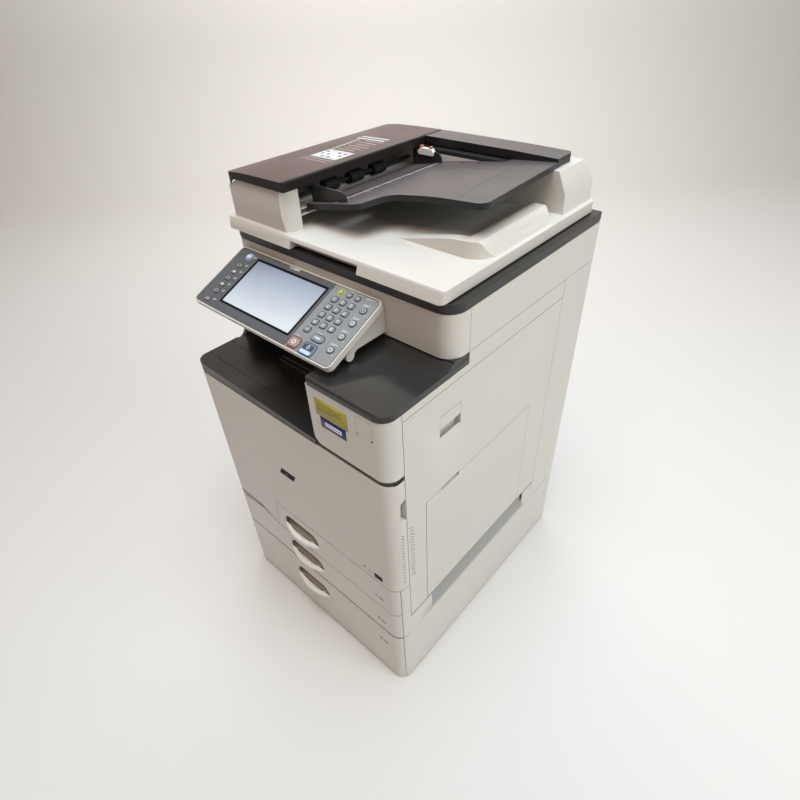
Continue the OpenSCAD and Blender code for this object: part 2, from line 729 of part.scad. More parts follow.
module output_tray() color(charcoal) place() {
  x0 = -hw;
  x1 = -hw + column_x;
  left_top = floor_z + exit_rise;
  slab = 3;
  wall = 2.5;
  rear = right_door_y + 20;
  side_t = cover_t + steel_t + slip;
  difference() {
    union() {
      // sloped floor with its front lip
      intersection() {
        prism_y([[x0, lip_z], [x1, lip_z], [x1, floor_z], [x0, left_top]], [0, rear]);
        translate([0, 0, deck_z]) linear_extrude(far) outline();
      }
      // recessed dark strip over the door, round to the column side
      deck([door_z1 + 0.5, lip_z], [4, wrap_d - 4], 4);
      deck([lip_z - eps, column_z - 0.5], [4, wrap_d - 4], 4);
      block([x0 + cover_t, x1], [wrap_d - 5, rear], [deck_z, lip_z + eps]);
    }
    // hollow under the floor
    prism_y([[x0 + side_t + wall, deck_z - 1], [x1 - wall, deck_z - 1], [x1 - wall, floor_z - slab],
      [x0 + side_t + wall, left_top - slab]], [8 + wall, rear - wall]);
    block([x0 - 1, x0 + cover_t + slip], [left_plate_y - 1, rear + 1], [0, left_top - 1.5]);
    block([x0 - 1, x0 + side_t], [pillar_y - 24, rear + 1], [0, far]);
    // parting lines of the floor
    intersection() {
      prism_y([[x0 - 2, left_top - 1], [x1 + 2, floor_z - 1], [x1 + 2, left_top + 9], [x0 - 2, left_top + 9]], [1, rear]);
      union() for (g = [[x0 - 1, x1 + 1, 35, 36.2], [x0 - 1, x0 + 115, 93, 94.2], [x0 + 113.8, x0 + 115, 93, 300],
        [x0 - 1, x0 + 115, 300, 301.2]])
        block([g[0], g[1]], [g[2], g[3]], [lip_z, far]);
    }
  }
  // left pillar: front and inner wall
  difference() {
    block([-frame_x + steel_t, -frame_x + pillar_w], [pillar_y, rear], [left_top - 1, scan_z]);
    block([-frame_x - 1, -frame_x + pillar_w - wall], [pillar_y + wall, rear + 1], [left_top - 2, scan_z + 1]);
    prism_y([[-hw, floor_z], [x1, floor_z - exit_rise], [x1, floor_z], [-hw, left_top + eps]], [0, body_d]);
  }
  // rear wall of the exit space
  block([-frame_x + pillar_w, x1 - exit_unit_w], [rear - wall, rear], [floor_z + 2, scan_z]);
  exit_unit(x1 - exit_unit_w, x1, rear);
  // dark wall beside the column
  block([x1 + 2.6, x1 + 2.6 + wall], [8, rear], [column_z + 1, scan_z - scan_gap - cap_h]);
}

module exit_unit(x0, x1, rear) {
  r = 12;
  top = lip_z + exit_unit_h;
  difference() {
    intersection() {
      block([x0, x1 + 2.6], [exit_unit_y, rear], [floor_z + 1, top]);
      shape_y([exit_unit_y - 1, rear + 1])
        round_rect([x0, x1 + far], [-far, top], [0, 0, 0, r]);
      prism_x([[exit_unit_y + 10, top + 1], [exit_unit_y, top - 8], [exit_unit_y, 0], [rear + 1, 0], [rear + 1, top + 1]],
        [x0 - 1, x1 + 4]);
    }
    block([x0 + 3, x1 + 1], [exit_unit_y + 3, rear - 3], [floor_z + 5, top - 3]);
    // the paper leaves through this mouth
    block([x0 - 1, x0 + 4], [exit_unit_y + 40, rear - 60], [top - 34, top - 16]);
  }
}

// ---- scanner ----

module scan_outline(inset = 0)
  round_rect([-hw + inset, hw - inset], [scan_y + inset, body_d - inset],
    [scan_r - inset, scan_r - inset, rear_r - min(inset, rear_r - 1), rear_r - min(inset, rear_r - 1)]);

rod_y1 = scan_y + 70;
rod_y2 = body_d - 90;
rod_z0 = scan_z + 24;

module scanner_case() color(white) place() {
  wall = 3;
  difference() {
    translate([0, 0, scan_z]) linear_extrude(scan_h) scan_outline();
    translate([0, 0, scan_z + wall]) linear_extrude(scan_h) scan_outline(wall);
    // seams of the side and front covers
    block([hw - 0.8, hw + 1], [cap_d - 0.6, cap_d + 0.6], [scan_z - 1, far]);
    block([-hw - 1, -hw + 0.8], [cap_d - 0.6, cap_d + 0.6], [scan_z - 1, far]);
  }
  for (y = [rod_y1, rod_y2]) rod_x(y, rod_z0, rod_r, [-hw + wall - eps, hw - wall + eps]);
}

module scanner_bezel() color(charcoal) place() {
  plate = glass_t + 2.5;
  difference() {
    union() {
      translate([0, 0, bezel_z]) linear_extrude(4) scan_outline(2);
      translate([0, 0, bezel_z + 4]) linear_extrude(bezel_h - 4)
        round_rect([-hw, hw], [scan_y - 3, body_d], [scan_r + 3, scan_r + 3, rear_r, rear_r]);
    }
    translate([0, 0, bezel_z - 1]) linear_extrude(bezel_h + 1 - plate) scan_outline(5);
    glass_seat(glass_x, slip, 0);
    glass_seat(slit_x, slip, 0);
    glass_seat(glass_x, -8, far);
    glass_seat(slit_x, -4, far);
  }
}

glass_y = [scan_y + 43, scan_y + 43 + glass_d];
glass_x = [-hw + 62, -hw + 62 + glass_w];
slit_x = [-hw + 22, -hw + 46];

// pocket for a pane, grown by the clearance, and cut deeper where asked
module glass_seat(x, grow, deep)
  block([x[0] - grow, x[1] + grow], [glass_y[0] - grow, glass_y[1] + grow],
    [bezel_z1 - glass_t - deep, bezel_z1 + 1]);

module platen_glass() color("lightcyan", 0.5) place()
  for (x = [glass_x, slit_x]) block(x, glass_y, [bezel_z1 - glass_t, bezel_z1]);

module scan_carriage() color(black) place() {
  x = [-hw + 40, -hw + 96];
  difference() {
    block(x, [rod_y1 - 18, rod_y2 + 18], [rod_z0 - 12, bezel_z1 - glass_t - 12]);
    for (y = [rod_y1, rod_y2]) rod_x(y, rod_z0, rod_r + run_fit, [x[0] - 1, x[1] + 1]);
    // lamp channel
    block([x[0] + 12, x[0] + 26], [rod_y1, rod_y2], [bezel_z1 - glass_t - 26, far]);
  }
}

// ---- hinges of the feeder, inlet and panel arm ----

feeder_x = [-hw + feeder_left, hw - feeder_right];
feeder_yr = feeder_y + feeder_d;
lid_axis_y = feeder_yr + 6;
lid_axis_z = base_z + 10;
lid_pin_r = 3.5;
lid_x = [-hw * 0.62, hw * 0.62];
lug_w = 12;
ear_t = 6;
ear_r = lid_axis_y - feeder_yr - slip;   // clears the rear wall of the feeder as it lifts

module lid_hinges() color(black) place()
  for (x = lid_x) {
    block([x - lug_w - ear_t, x + lug_w + ear_t], [lid_axis_y - 5, lid_axis_y + 6], [bezel_z1, bezel_z1 + 2.4]);
    for (ear = [[x - lug_w - ear_t, x - lug_w - slip], [x + lug_w + slip, x + lug_w + ear_t]]) {
      block(ear, [lid_axis_y - 5, lid_axis_y + ear_r], [bezel_z1, lid_axis_z]);
      rod_x(lid_axis_y, lid_axis_z, ear_r, ear);
    }
    rod_x(lid_axis_y, lid_axis_z, lid_pin_r, [x - lug_w - ear_t / 2, x + lug_w + ear_t / 2]);
  }

inlet_z = main_z + 40;

module power_inlet() color(black) place() {
  x = -hw + 70;
  difference() {
    union() {
      block([x - 24, x + 24], [rear_plate_y + steel_t, body_d], [inlet_z - 14, inlet_z + 14]);
      block([x - 27, x + 27], [body_d, body_d + inlet_out], [inlet_z - 17, inlet_z + 17]);
    }
    block([x - 13, x + 13], [body_d - 18, body_d + 3], [inlet_z - 9, inlet_z + 9]);
  }
  for (dx = [-7, 0, 7])
    block([x + dx - 1, x + dx + 1], [body_d - 18, body_d - 9],
      [inlet_z - 2 + (dx == 0 ? 4 : -2), inlet_z + 2 + (dx == 0 ? 4 : -2)]);
}

panel_z = cap_z1 + panel_rise;
panel_axis_y = panel_y + 59;
panel_axis_z = cap_z1 + 13.5;
arm_knuckle_r = 10;
arm_x = [-hw + panel_x + 70, -hw + panel_x + panel_w - 6];
slope_run = cos(panel_slope);
slope_rise = sin(panel_slope);

// height of the panel back face at a depth, where the arm lies under it
function panel_back(y) = panel_z + (y - panel_y) * tan(panel_slope) - panel_t / slope_run;

module panel_arm() color(white) place() {
  low = panel_axis_z + 6;
  step = 8;
  difference() {
    union() {
      prism_x([[panel_axis_y, panel_axis_z - 4], [panel_axis_y + 18, low], [scan_y, low],
        [scan_y, panel_back(scan_y) - slip - 6], [panel_axis_y, panel_back(panel_axis_y) - slip - 4]], arm_x);
      rod_x(panel_axis_y, panel_axis_z, arm_knuckle_r, arm_x);
    }
    // the panel knuckles sit in these gaps
    for (x = knuckle_gaps)
      rod_x(panel_axis_y, panel_axis_z, arm_knuckle_r + 1.5, [x - slip, x + panel_knuckle_w + slip]);
    for (x = knuckle_gaps)
      prism_x([[panel_axis_y - 12, panel_axis_z], [panel_axis_y - 12, panel_axis_z + 60],
        [panel_axis_y + 12, panel_axis_z + 60], [panel_axis_y + 12, panel_axis_z]],
        [x - slip, x + panel_knuckle_w + slip]);
    // wiring hollow
    prism_x([[panel_axis_y + 26, low + 3], [scan_y + 1, low + 3], [scan_y + 1, panel_back(scan_y) - 12],
      [panel_axis_y + 26, panel_back(panel_axis_y + 26) - 10]], [arm_x[0] + 4, arm_x[1] - 4]);
  }
  // hinge pin through the gaps
  rod_x(panel_axis_y, panel_axis_z, pin_r, [arm_x[0] + 2, arm_x[1] - 2]);
}

pin_r = 3;
panel_knuckle_w = 24;
knuckle_gaps = [arm_x[0] + 20, arm_x[1] - 44];

// ---- control panel ----

// frame of the panel face: X along its width from the left edge, Y up the slope, Z out of the face
module on_panel() translate([-hw + panel_x, panel_y, panel_z]) rotate([panel_slope, 0, 0]) children();

face_t = 2.5;
face_in = 4;                      // white rim around the grey face
screen_u = 72;
screen_v = 25;
pad_u = [311, 332, 353];
pad_v = [123.5, 105, 86.5, 68];
side_u = 382;
left_u = 40;

// keys other than the keypad: u, v, width, height and corner radius
left_list = [[left_u + 3, 137, 17, 13, 6.4], for (i = [0:4]) [left_u, 110 - i * 17.8, 11, 9, 2.5], [left_u - 3, 15, 12, 9, 2.5]];
right_list = [for (i = [0:3]) [side_u, 124.5 - i * 30.3, 13, 12, 5.9], for (u = pad_u) [u + 1, 142, 11, 10, 4.9],
  [pad_u[0] - 3, 49.5, key_w, key_h, 3]];
start_list = [340, 16, 31, 23, 6];
stop_list = [304, 17, 25, 20, 6];
enter_list = [342, 42, 29, 14, 6.9];
key_fit = 0.4;
key_out = 1.8;
key_root = 4;

module key_shape(k, grow = 0)
  round_rect([k[0] - k[2] / 2 - grow, k[0] + k[2] / 2 + grow], [k[1] - k[3] / 2 - grow, k[1] + k[3] / 2 + grow],
    [for (i = [0:3]) k[4] + grow]);

module key(k, shade) color(shade) place() on_panel() {
  // the cap stands out of the face; its skirt is trapped behind the face plate
  translate([0, 0, -face_t - key_travel - slip]) linear_extrude(face_t + key_travel + slip + key_out)
    key_shape(k);
  translate([0, 0, -face_t - key_travel - slip - 0.5]) linear_extrude(key_travel + 0.5) key_shape(k, 1.2);
}

function pad_key(col, row) = [pad_u[col], pad_v[row], key_w, key_h, 3];
all_keys = concat(left_list, right_list, [start_list, stop_list, enter_list],
  [for (c = [0:2], r = [0:3]) pad_key(c, r)]);

module key_1() key(pad_key(0, 0), key_grey);
module key_2() key(pad_key(1, 0), key_grey);
module key_3() key(pad_key(2, 0), key_grey);
module key_4() key(pad_key(0, 1), key_grey);
module key_5() key(pad_key(1, 1), key_grey);
module key_6() key(pad_key(2, 1), key_grey);
module key_7() key(pad_key(0, 2), key_grey);
module key_8() key(pad_key(1, 2), key_grey);
module key_9() key(pad_key(2, 2), key_grey);
module key_star() key(pad_key(0, 3), key_grey);
module key_0() key(pad_key(1, 3), key_grey);
module key_hash() key(pad_key(2, 3), key_grey);
module start_key() key(start_list, "steelblue");
module stop_key() key(stop_list, "indianred");
module enter_key() key(enter_list, key_grey);
module left_keys() for (k = left_list) key(k, key_grey);
module right_keys() for (k = right_list) key(k, key_grey);

module panel_plan(inset = 0)
  round_rect([inset, panel_w - inset], [inset, panel_l - inset], [for (i = [0:3]) panel_r - inset]);

module panel_housing() color(white) place() {
  on_panel() difference() {
    translate([0, 0, -panel_t]) linear_extrude(panel_t) panel_plan();
    translate([0, 0, -panel_t + cover_t]) linear_extrude(panel_t) panel_plan(2.5);
  }
  // rim ledge that carries the face plate
  on_panel() translate([0, 0, -panel_t + eps]) linear_extrude(panel_t - face_t - eps) difference() {
    panel_plan(2);
    panel_plan(face_in + 3);
    for (k = [start_list, stop_list]) key_shape(k, 1.2 + slip);
  }
  // knuckles round the arm pin
  for (x = knuckle_gaps) difference() {
    union() {
      rod_x(panel_axis_y, panel_axis_z, arm_knuckle_r - 2, [x, x + panel_knuckle_w]);
      prism_x([[panel_axis_y - 7, panel_axis_z], [panel_axis_y - 7, panel_back(panel_axis_y - 7) + 2],
        [panel_axis_y + 7, panel_back(panel_axis_y + 7) + 2], [panel_axis_y + 7, panel_axis_z]],
        [x, x + panel_knuckle_w]);
    }
    rod_x(panel_axis_y, panel_axis_z, pin_r + run_fit, [x - 1, x + panel_knuckle_w + 1]);
  }
}

module panel_bezel() color("slategray") place() on_panel() difference() {
  translate([0, 0, -face_t]) linear_extrude(face_t) panel_plan(face_in);
  translate([screen_u, screen_v, -face_t - 1]) cube([screen_w, screen_h, face_t + 2]);
  for (k = all_keys) translate([0, 0, -face_t - 1]) linear_extrude(face_t + 2) key_shape(k, key_fit);
  // line between the keypad and the side keys
  translate([367, 4, -0.4]) cube([0.8, panel_l - 8, 1]);
  translate([screen_u + screen_w + 10, 4, -0.4]) cube([0.8, panel_l - 8, 1]);
}

module touch_screen() color("lightsteelblue") place() on_panel() {
  translate([screen_u + slip, screen_v + slip, -panel_t + cover_t])
    cube([screen_w - 2 * slip, screen_h - 2 * slip, panel_t - cover_t - 0.8]);
}

// ---- document feeder ----

lip_run = 8;                      // slope of the base front
base_wall = 2.5;
step_h = 30;

module base_plan(inset = 0)
  round_rect([feeder_x[0] + inset, feeder_x[1] - inset], [feeder_y + inset, feeder_yr - inset],
    [for (i = [0:3]) 12 - inset]);

grip_slot_x = [-hw + 204, -hw + 384];

module adf_base() color(white) place() {
  difference() {
    union() {
      difference() {
        intersection() {
          translate([0, 0, base_z]) linear_extrude(base_h) base_plan();
          base_front_cut(0);
        }
        intersection() {
          translate([0, 0, base_z - 1]) linear_extrude(base_h + 1 - base_wall) base_plan(base_wall);
          base_front_cut(base_wall);
        }
      }
      // liner of the lifting grip
      intersection() {
        block([grip_slot_x[0] - 2, grip_slot_x[1] + 2], [feeder_y + 1, feeder_y + 24], [base_z, base_z + 17]);
        base_front_cut(base_wall / 2);
      }
    }
    block(grip_slot_x, [feeder_y - 1, feeder_y + 22], [base_z - 1, base_z + 15]);
  }
  // lugs on the hinge pins
  for (x = lid_x) difference() {
    block([x - lug_w, x + lug_w], [feeder_yr - 1, lid_axis_y + 6], [base_z + 2, lid_axis_z + 8]);
    rod_x(lid_axis_y, lid_axis_z, lid_pin_r + run_fit, [x - lug_w - 1, x + lug_w + 1]);
  }
  // raised stop of the exit tray, scooped behind its rim
  difference() {
    intersection() {
      prism_y([[stop_x0, base_z1 - eps], [stop_x0 + 8, base_z1 + 2], [stop_x0 + 96, base_z1 + step_h - 7],
        [stop_x0 + 122, base_z1 + step_h - 2], [stop_x1 - 34, base_z1 + step_h], [stop_x1 - 18, base_z1 + step_h],
        [stop_x1 - 14, base_z1 + step_h - 3], [stop_x1, base_z1 - eps]], [stop_y0, stop_y1]);
      translate([0, 0, base_z1 - eps]) linear_extrude(far)
        round_rect([stop_x0 - 1, stop_x1], [stop_y0, stop_y1], [0, 44, 8, 0]);
    }
    prism_y([[stop_x0 - 1, base_z1 + 2], [stop_x0 + 16, base_z1 + 2], [stop_x0 + 96, base_z1 + step_h - 15],
      [stop_x1 - 58, base_z1 + step_h - 9], [stop_x1 - 40, base_z1 + step_h + 1], [stop_x0 - 1, base_z1 + step_h + 1]],
      [stop_y0 + 22, stop_y1 + 1]);
    // small moulded mark window on its right face
    block([stop_x1 - 9, stop_x1 + 5], [stop_y0 + 132, stop_y0 + 155], [base_z1 + 14, base_z1 + 22]);
  }
  // bottom plate inside the base shell
  difference() {
    translate([0, 0, base_z]) linear_extrude(2) base_plan(base_wall + 7);
    block([grip_slot_x[0] - 4, grip_slot_x[1] + 4], [feeder_y - 1, feeder_y + 26], [base_z - 1, far]);
  }
  for (x = [-hw / 2, hw / 2], y = [feeder_y + 60, feeder_yr - 60])
    rod_z(x, y, 6, [base_z + 2, base_z1 - base_wall]);
}

stop_x0 = hw - 210;
stop_x1 = hw - 25;
stop_y0 = feeder_y + 125;
stop_y1 = feeder_y + 351;

// half space behind the sloped front of the base
module base_front_cut(inset)
  prism_x([[feeder_y + inset, base_z - 1], [feeder_y + lip_run + inset, base_z1 - 1], [feeder_y + lip_run + inset + 2, base_z1 + 1],
    [far, base_z1 + 1], [far, base_z - 1]], [-hw, hw]);

module platen_pad() color(white) place()
  block([glass_x[0] + 4, glass_x[1] - 4], [glass_y[0] + 4, glass_y[1] - 4],
    [bezel_z1 + slip, base_z]);

cover_x = [feeder_x[0] + feed_lean, feeder_x[0] + feed_lean + feed_w];
housing_x1 = cover_x[1] - 8;

// left side of the feeder, which leans in up to the feed cover
function lean_x(z) = feeder_x[0] + feed_lean * (z - base_z1) / (feed_low - base_z1);

module lean_cut(shift = 0)
  prism_y([[feeder_x[0] - 1, base_z1 - 2], [lean_x(base_z1 - 2) + shift, base_z1 - 2], [cover_x[0] + shift, feed_low],
    [cover_x[0] + shift, far], [feeder_x[0] - 1, far]], [0, body_d]);

module housing_plan(y0, y1, inset)
  translate([0, 0, base_z1 - 2]) linear_extrude(feeder_h + 2)
    round_rect([feeder_x[0] + inset, hw], [y0 + inset, y1 - inset], [feed_r - inset, 0, 0, feed_r - inset]);

module adf_front_housing() color(white) place() {
  y0 = feeder_y + 15;
  y1 = y0 + housing_d;
  profile = [[y0 + 3, base_z1], [y0 - 2, base_z1 + 34], [y0 - 1.5, base_z1 + 56], [y0 + 2, housing_z1], [y1, housing_z1],
    [y1, base_z1]];
  inner = [[y0 + 5.5, base_z1 - 1], [y0 + 0.5, base_z1 + 34], [y0 + 1, base_z1 + 56], [y0 + 4.5, housing_z1 - 2.5],
    [y1 - 2.5, housing_z1 - 2.5], [y1 - 2.5, base_z1 - 1]];
  x1 = housing_x1 - 12;
  right_cut = [[x1, y0 - 5], [x1, y0 + 2], [x1 + 9, y0 + 14], [x1 + 13, y1 + 1], [far, y1 + 1], [far, y0 - 5]];
  difference() {
    intersection() {
      prism_x(profile, [feeder_x[0], housing_x1 + 12]);
      housing_plan(y0 - 2, feeder_yr, 0);
    }
    difference() {
      intersection() {
        prism_x(inner, [feeder_x[0] + 2.5, housing_x1 + 20]);
        housing_plan(y0 - 2, feeder_yr, 2.5);
      }
      translate([-2.5, 0, base_z1 - 2]) linear_extrude(feeder_h) polygon(right_cut);
      lean_cut(2.5);
      housing_notch(2.5);
    }
    translate([0, 0, base_z1 - 2]) linear_extrude(feeder_h) polygon(right_cut);
    lean_cut();
    housing_notch();
    // bearing of the feed roller
    rod_y(feed_axis_x, feed_axis_z, shaft_r + run_fit, [y1 - 5, y1 + 1]);
  }
  feed_pivot(cover_y[0] + lug_in, cover_y[0] + lug_in - 8);
}

// post on a housing with the pivot pin of the feed cover
module feed_pivot(y, pin_end) {
  block([feed_hinge_x + 2, feed_hinge_x + 7], [y, y + 5], [feed_low - 3, feed_hinge_z]);
  rod_y(feed_hinge_x, feed_hinge_z, 3, [y, y + 5]);
  rod_y(feed_hinge_x, feed_hinge_z, 2, [min(y, pin_end), max(y + 5, pin_end)]);
}

// the outer top edge is cut down for the swing of the feed cover
module housing_notch(grow = 0)
  prism_y([[feeder_x[0] - 1, feed_low - 2 - grow], [cover_x[0] + 16 + grow, feed_low - 2 - grow],
    [cover_x[0] + 31 + grow, housing_z1 - grow], [cover_x[0] + 31 + grow, far], [feeder_x[0] - 1, far]], [0, body_d]);

feed_low = feeder_z1 - 31;        // lower edge of the feed cover at the left
feed_axis_x = -hw + 165;
feed_axis_z = feeder_z1 - 45;

module adf_rear_housing() color(white) place() {
  y0 = feeder_yr - rear_housing_d;
  y1 = feeder_yr;
  x0 = feeder_x[0];
  x1 = hw - 27.5;
  slope_z = base_z1 + 39;
  outer = [[x0, base_z1], [x1, base_z1], [x1 - 2, slope_z], [x1 - 20, housing_z1], [x0, housing_z1]];
  inner = [[x0 + 2.5, base_z1 - 1], [x1 - 2.5, base_z1 - 1], [x1 - 4.5, slope_z], [x1 - 21.5, housing_z1 - 2.5],
    [x0 + 2.5, housing_z1 - 2.5]];
  difference() {
    intersection() {
      prism_y(outer, [y0, y1]);
      housing_plan(feeder_y, y1, 0);
    }
    difference() {
      intersection() {
        prism_y(inner, [y0 + 2.5, y1 - 2.5]);
        housing_plan(feeder_y, y1, 2.5);
      }
      lean_cut(2.5);
      housing_notch(2.5);
    }
    lean_cut();
    // rear face leans forward at the top
    prism_x([[y1 + 1, base_z1 + 50], [y1, base_z1 + 50], [y1 - 14, housing_z1], [y1 - 14, far], [y1 + 1, far]], [-hw - 1, hw + 1]);
    housing_notch();
    rod_y(feed_axis_x, feed_axis_z, shaft_r + run_fit, [y0 - 1, y0 + 5]);
  }
  feed_unit([feeder_y + 15 + housing_d, y0 + 1]);
  feed_pivot(cover_y[1] - lug_in - 5, cover_y[1] - lug_in + 8);
  prism_x([[y1 - 4, base_z1 + 47], [y1 - 2.5, base_z1 + 50], [y1 - 16.5, housing_z1], [y1 - 19, housing_z1 - 2.5]],
    [cover_x[0] + 27, x1 - 26]);
  // ears that carry the input tray
  for (y = lift_ears) {
    block([lift_x - 5, lift_x + 5], [y, y + 6], [housing_z1 - eps, lift_z - 1]);
    rod_y(lift_x, lift_z, 2.7, [y, y + 6]);
    rod_y(lift_x, lift_z, 2, [y - 6, y + 6]);
  }
}

// paper turn between the housings: outer wall at the left, guide under the roller, exit slot at the right
module feed_unit(y) {
  x0 = feeder_x[0];
  x1 = housing_x1 - 6.5;
  top = feed_low - 2.5;
  prism_y([[x0, base_z1], [x0 + 2.5, base_z1], [lean_x(top) + 2.5, top], [lean_x(top), top]], y);
  difference() {
    prism_y([[lean_x(base_z1 + 34) + 2, base_z1 + 34], [x0 + 40, base_z1 + 24], [x1, base_z1 + 22], [x1, base_z1 + 36],
      [x1 - 30, base_z1 + 40], [x0 + 110, base_z1 + 36], [x0 + 60, base_z1 + 50], [lean_x(base_z1 + 56) + 2, base_z1 + 56]], y);
    prism_y([[x0 + 9, base_z1 + 36.5], [x0 + 40, base_z1 + 26.5], [x1 + 1, base_z1 + 24.5], [x1 + 1, base_z1 + 33.5],
      [x1 - 31, base_z1 + 37.5], [x0 + 110, base_z1 + 33.5], [x0 + 58, base_z1 + 47.5], [x0 + 12, base_z1 + 53.5]],
      [y[0] + 4, y[1] - 4]);
    rod_y(feed_axis_x, feed_axis_z, 14, [0, body_d]);
  }
}

// hinge line of the input tray
lift_x = cover_x[1] + feed_gap + 6;
lift_z = feeder_z1 - 5;
lift_ears = [feeder_yr - 92, feeder_yr - 56];

feed_hinge_x = cover_x[0] + 7;
feed_hinge_z = feed_low + 6;
cover_y = [feeder_y + 11, feeder_yr - 36];

lug_in = 32;                      // from the cover ends to its hinge posts
feed_r = 26;                      // plan corners at the left of the feeder

module cover_plan(inset)
  translate([0, 0, base_z1]) linear_extrude(feeder_h + 1)
    round_rect([cover_x[0] + inset, cover_x[1] + 1], [cover_y[0] + inset, cover_y[1] - inset],
      [feed_r - inset, 6, 0, feed_r - inset]);

module adf_feed_cover() color([0.22, 0.17, 0.16]) place() {
  x0 = cover_x[0];
  x1 = cover_x[1];
  z1 = feeder_z1;
  low = feed_low;
  skin = 3;
  outer = [[x0, low + 4], each arc(x0 + 15, z1 - 22, 15, 180, 100), [x0 + 30, z1 - 5], [x0 + 58, z1 - 2.5],
    [x0 + 118, z1 - 0.8], [x1 - 3, z1], [x1, z1 - 2], [x1, z1 - feed_edge], [x0 + 30, z1 - feed_edge], [x0 + 14, low]];
  inner = [[x0 + skin, low - 2], each arc(x0 + 15, z1 - 22, 15 - skin, 180, 100), [x0 + 30, z1 - skin - 5],
    [x0 + 58, z1 - skin - 2.5], [x1 - skin, z1 - skin - 1], [x1 - skin, z1 - feed_edge - 1],
    [x0 + 30, z1 - feed_edge - 3], [x0 + 14, low - 2]];
  difference() {
    intersection() {
      prism_y(outer, cover_y);
      cover_plan(0);
    }
    difference() {
      intersection() {
        prism_y(inner, [cover_y[0] + skin, cover_y[1] - skin]);
        cover_plan(skin);
      }
      // lugs on the hinge line
      for (y = [cover_y[0] + lug_in - 10, cover_y[1] - lug_in + 0.4])
        block([x0, feed_hinge_x + 6], [y, y + 9.6], [feed_hinge_z - 5, z1]);
    }
    rod_y(feed_hinge_x, feed_hinge_z, 2 + run_fit, [cover_y[0] + lug_in - 11, cover_y[1] - lug_in + 11]);
  }
}

module adf_feed_roller() color(black) place() {
  y0 = feeder_y + 15 + housing_d;
  y1 = feeder_yr - rear_housing_d;
  rod_y(feed_axis_x, feed_axis_z, shaft_r, [y0 - 2, y1 + 2]);
  for (f = [0.3, 0.5, 0.7])
    rod_y(feed_axis_x, feed_axis_z, 12, [y0 + (y1 - y0) * f - 18, y0 + (y1 - y0) * f + 18]);
}

// input tray surface: height above the feeder base for places along X
tray_x0 = lift_x - 22;
tray_edge = 5;
tray_top = [[tray_x0, 42], [tray_x0 + 30, 46.5], [tray_x0 + 66, 53.5], [tray_x0 + 122, 63.5], [tray_x0 + 192, 72.5],
  [tray_x0 + 262, 81.5], [hw - 36, 90.5]];

function tray_profile(drop) = [for (p = tray_top) [p[0], base_z1 + p[1] - drop]];
function reversed(list) = [for (i = [len(list) - 1:-1:0]) list[i]];

fence_y = [feeder_y + 84, feeder_y + 388];

module tray_plan() {
  y_front = feeder_y + 71;
  y_back = feeder_y + 148;
  x_in = 8;
  difference() {
    polygon([[tray_x0, y_front], [x_in, y_front], each arc(x_in, y_front + 30, 30, -90, -35),
      each reversed(arc(x_in + 65, y_back - 37, 36, 90, 150)), [x_in + 120, y_back + 2], [hw - 60, y_back - 4],
      each arc(hw - 57, y_back + 12, 16, -80, 20), [hw - 62, feeder_yr - 74], each arc(hw - 76, feeder_yr - 50, 14, 0, 90),
      [tray_x0, feeder_yr - 36]]);
  }
}

module adf_input_tray() color(charcoal) place() {
  rear_y = feeder_yr - rear_housing_d + 1;
  flat_z = feeder_z1 - 16;
  difference() {
    union() {
      // sloping plate
      intersection() {
        prism_y(concat(tray_profile(0), reversed(tray_profile(tray_edge))), [0, body_d]);
        translate([0, 0, base_z1]) linear_extrude(far) tray_plan();
      }
      // deeper rim under the front and right edges
      intersection() {
        prism_y(concat(tray_profile(tray_edge - 1), reversed(tray_profile(11))), [0, body_d]);
        translate([0, 0, base_z1]) linear_extrude(far) difference() {
          tray_plan();
          translate([-4, 4]) tray_plan();
        }
      }
      // flat rear part over the rear housing
      intersection() {
        block([tray_x0, hw], [rear_y + 16, feeder_yr - 36], [flat_z, feeder_z1]);
        translate([0, 0, base_z1]) linear_extrude(far) tray_plan();
      }
    }
    // the flat part stops at the feed cover and thins to the right
    block([-far, lift_x - 6], [rear_y - 10, far], [housing_z1 - 20, far]);
    prism_y([[lift_x - 30, flat_z - 1], [lift_x - 30, feeder_z1 + 1], [hw + 1, feeder_z1 + 1], [hw + 1, feeder_z1 - 4],
      [lift_x + 210, feeder_z1 - 0.5], [lift_x + 60, feeder_z1 + eps], [lift_x - 20, feeder_z1 + eps],
      [lift_x - 20, flat_z - 1]], [rear_y, far]);
    // room for the ears and the roof of the rear housing
    for (y = lift_ears) block([lift_x - 8, lift_x + 8], [y - 0.5, y + 6.5], [0, feeder_z1 - 2]);
    block([tray_x0 - 1, hw], [rear_y - 1 - slip, far], [0, housing_z1 + slip]);
    // three sensor holes
    for (i = [0:2]) rod_z(lift_x + 80 + i * 38, feeder_y + 385, 3, [base_z1, far]);
    for (y = lift_ears) rod_y(lift_x, lift_z, 2 + run_fit, [y - 8, y + 8]);
    // slots of the side fences
    for (y = [[fence_y[0] - 1, fence_y[0] + fence_travel + 5], [fence_y[1] - fence_travel - 5, fence_y[1] + 1]])
      block([fence_slot_x - 2, fence_slot_x + 2], y, [0, far]);
  }
}

fence_slot_x = tray_x0 + 60;

// side fence with its foot in the tray slot; it stands just above the tray surface
function on_tray(x) = [x, base_z1 + lookup(x, tray_top) + 0.5];

module fence(y, length) {
  x0 = tray_x0 + 4;
  top = feeder_z1 - feed_edge - 3;
  r = top - on_tray(x0 + length)[1] - 1;
  prism_y([[x0, top], each arc(x0 + length - r, top - r, r, 90, 0, 6),
    on_tray(x0 + length), on_tray(tray_x0 + 66), on_tray(tray_x0 + 30), on_tray(x0)], [y, y + 3]);
  foot_z = on_tray(fence_slot_x)[1];
  block([fence_slot_x - 1.6, fence_slot_x + 1.6], [y + 0.2, y + 2.8], [foot_z - 5, foot_z + 2]);
}

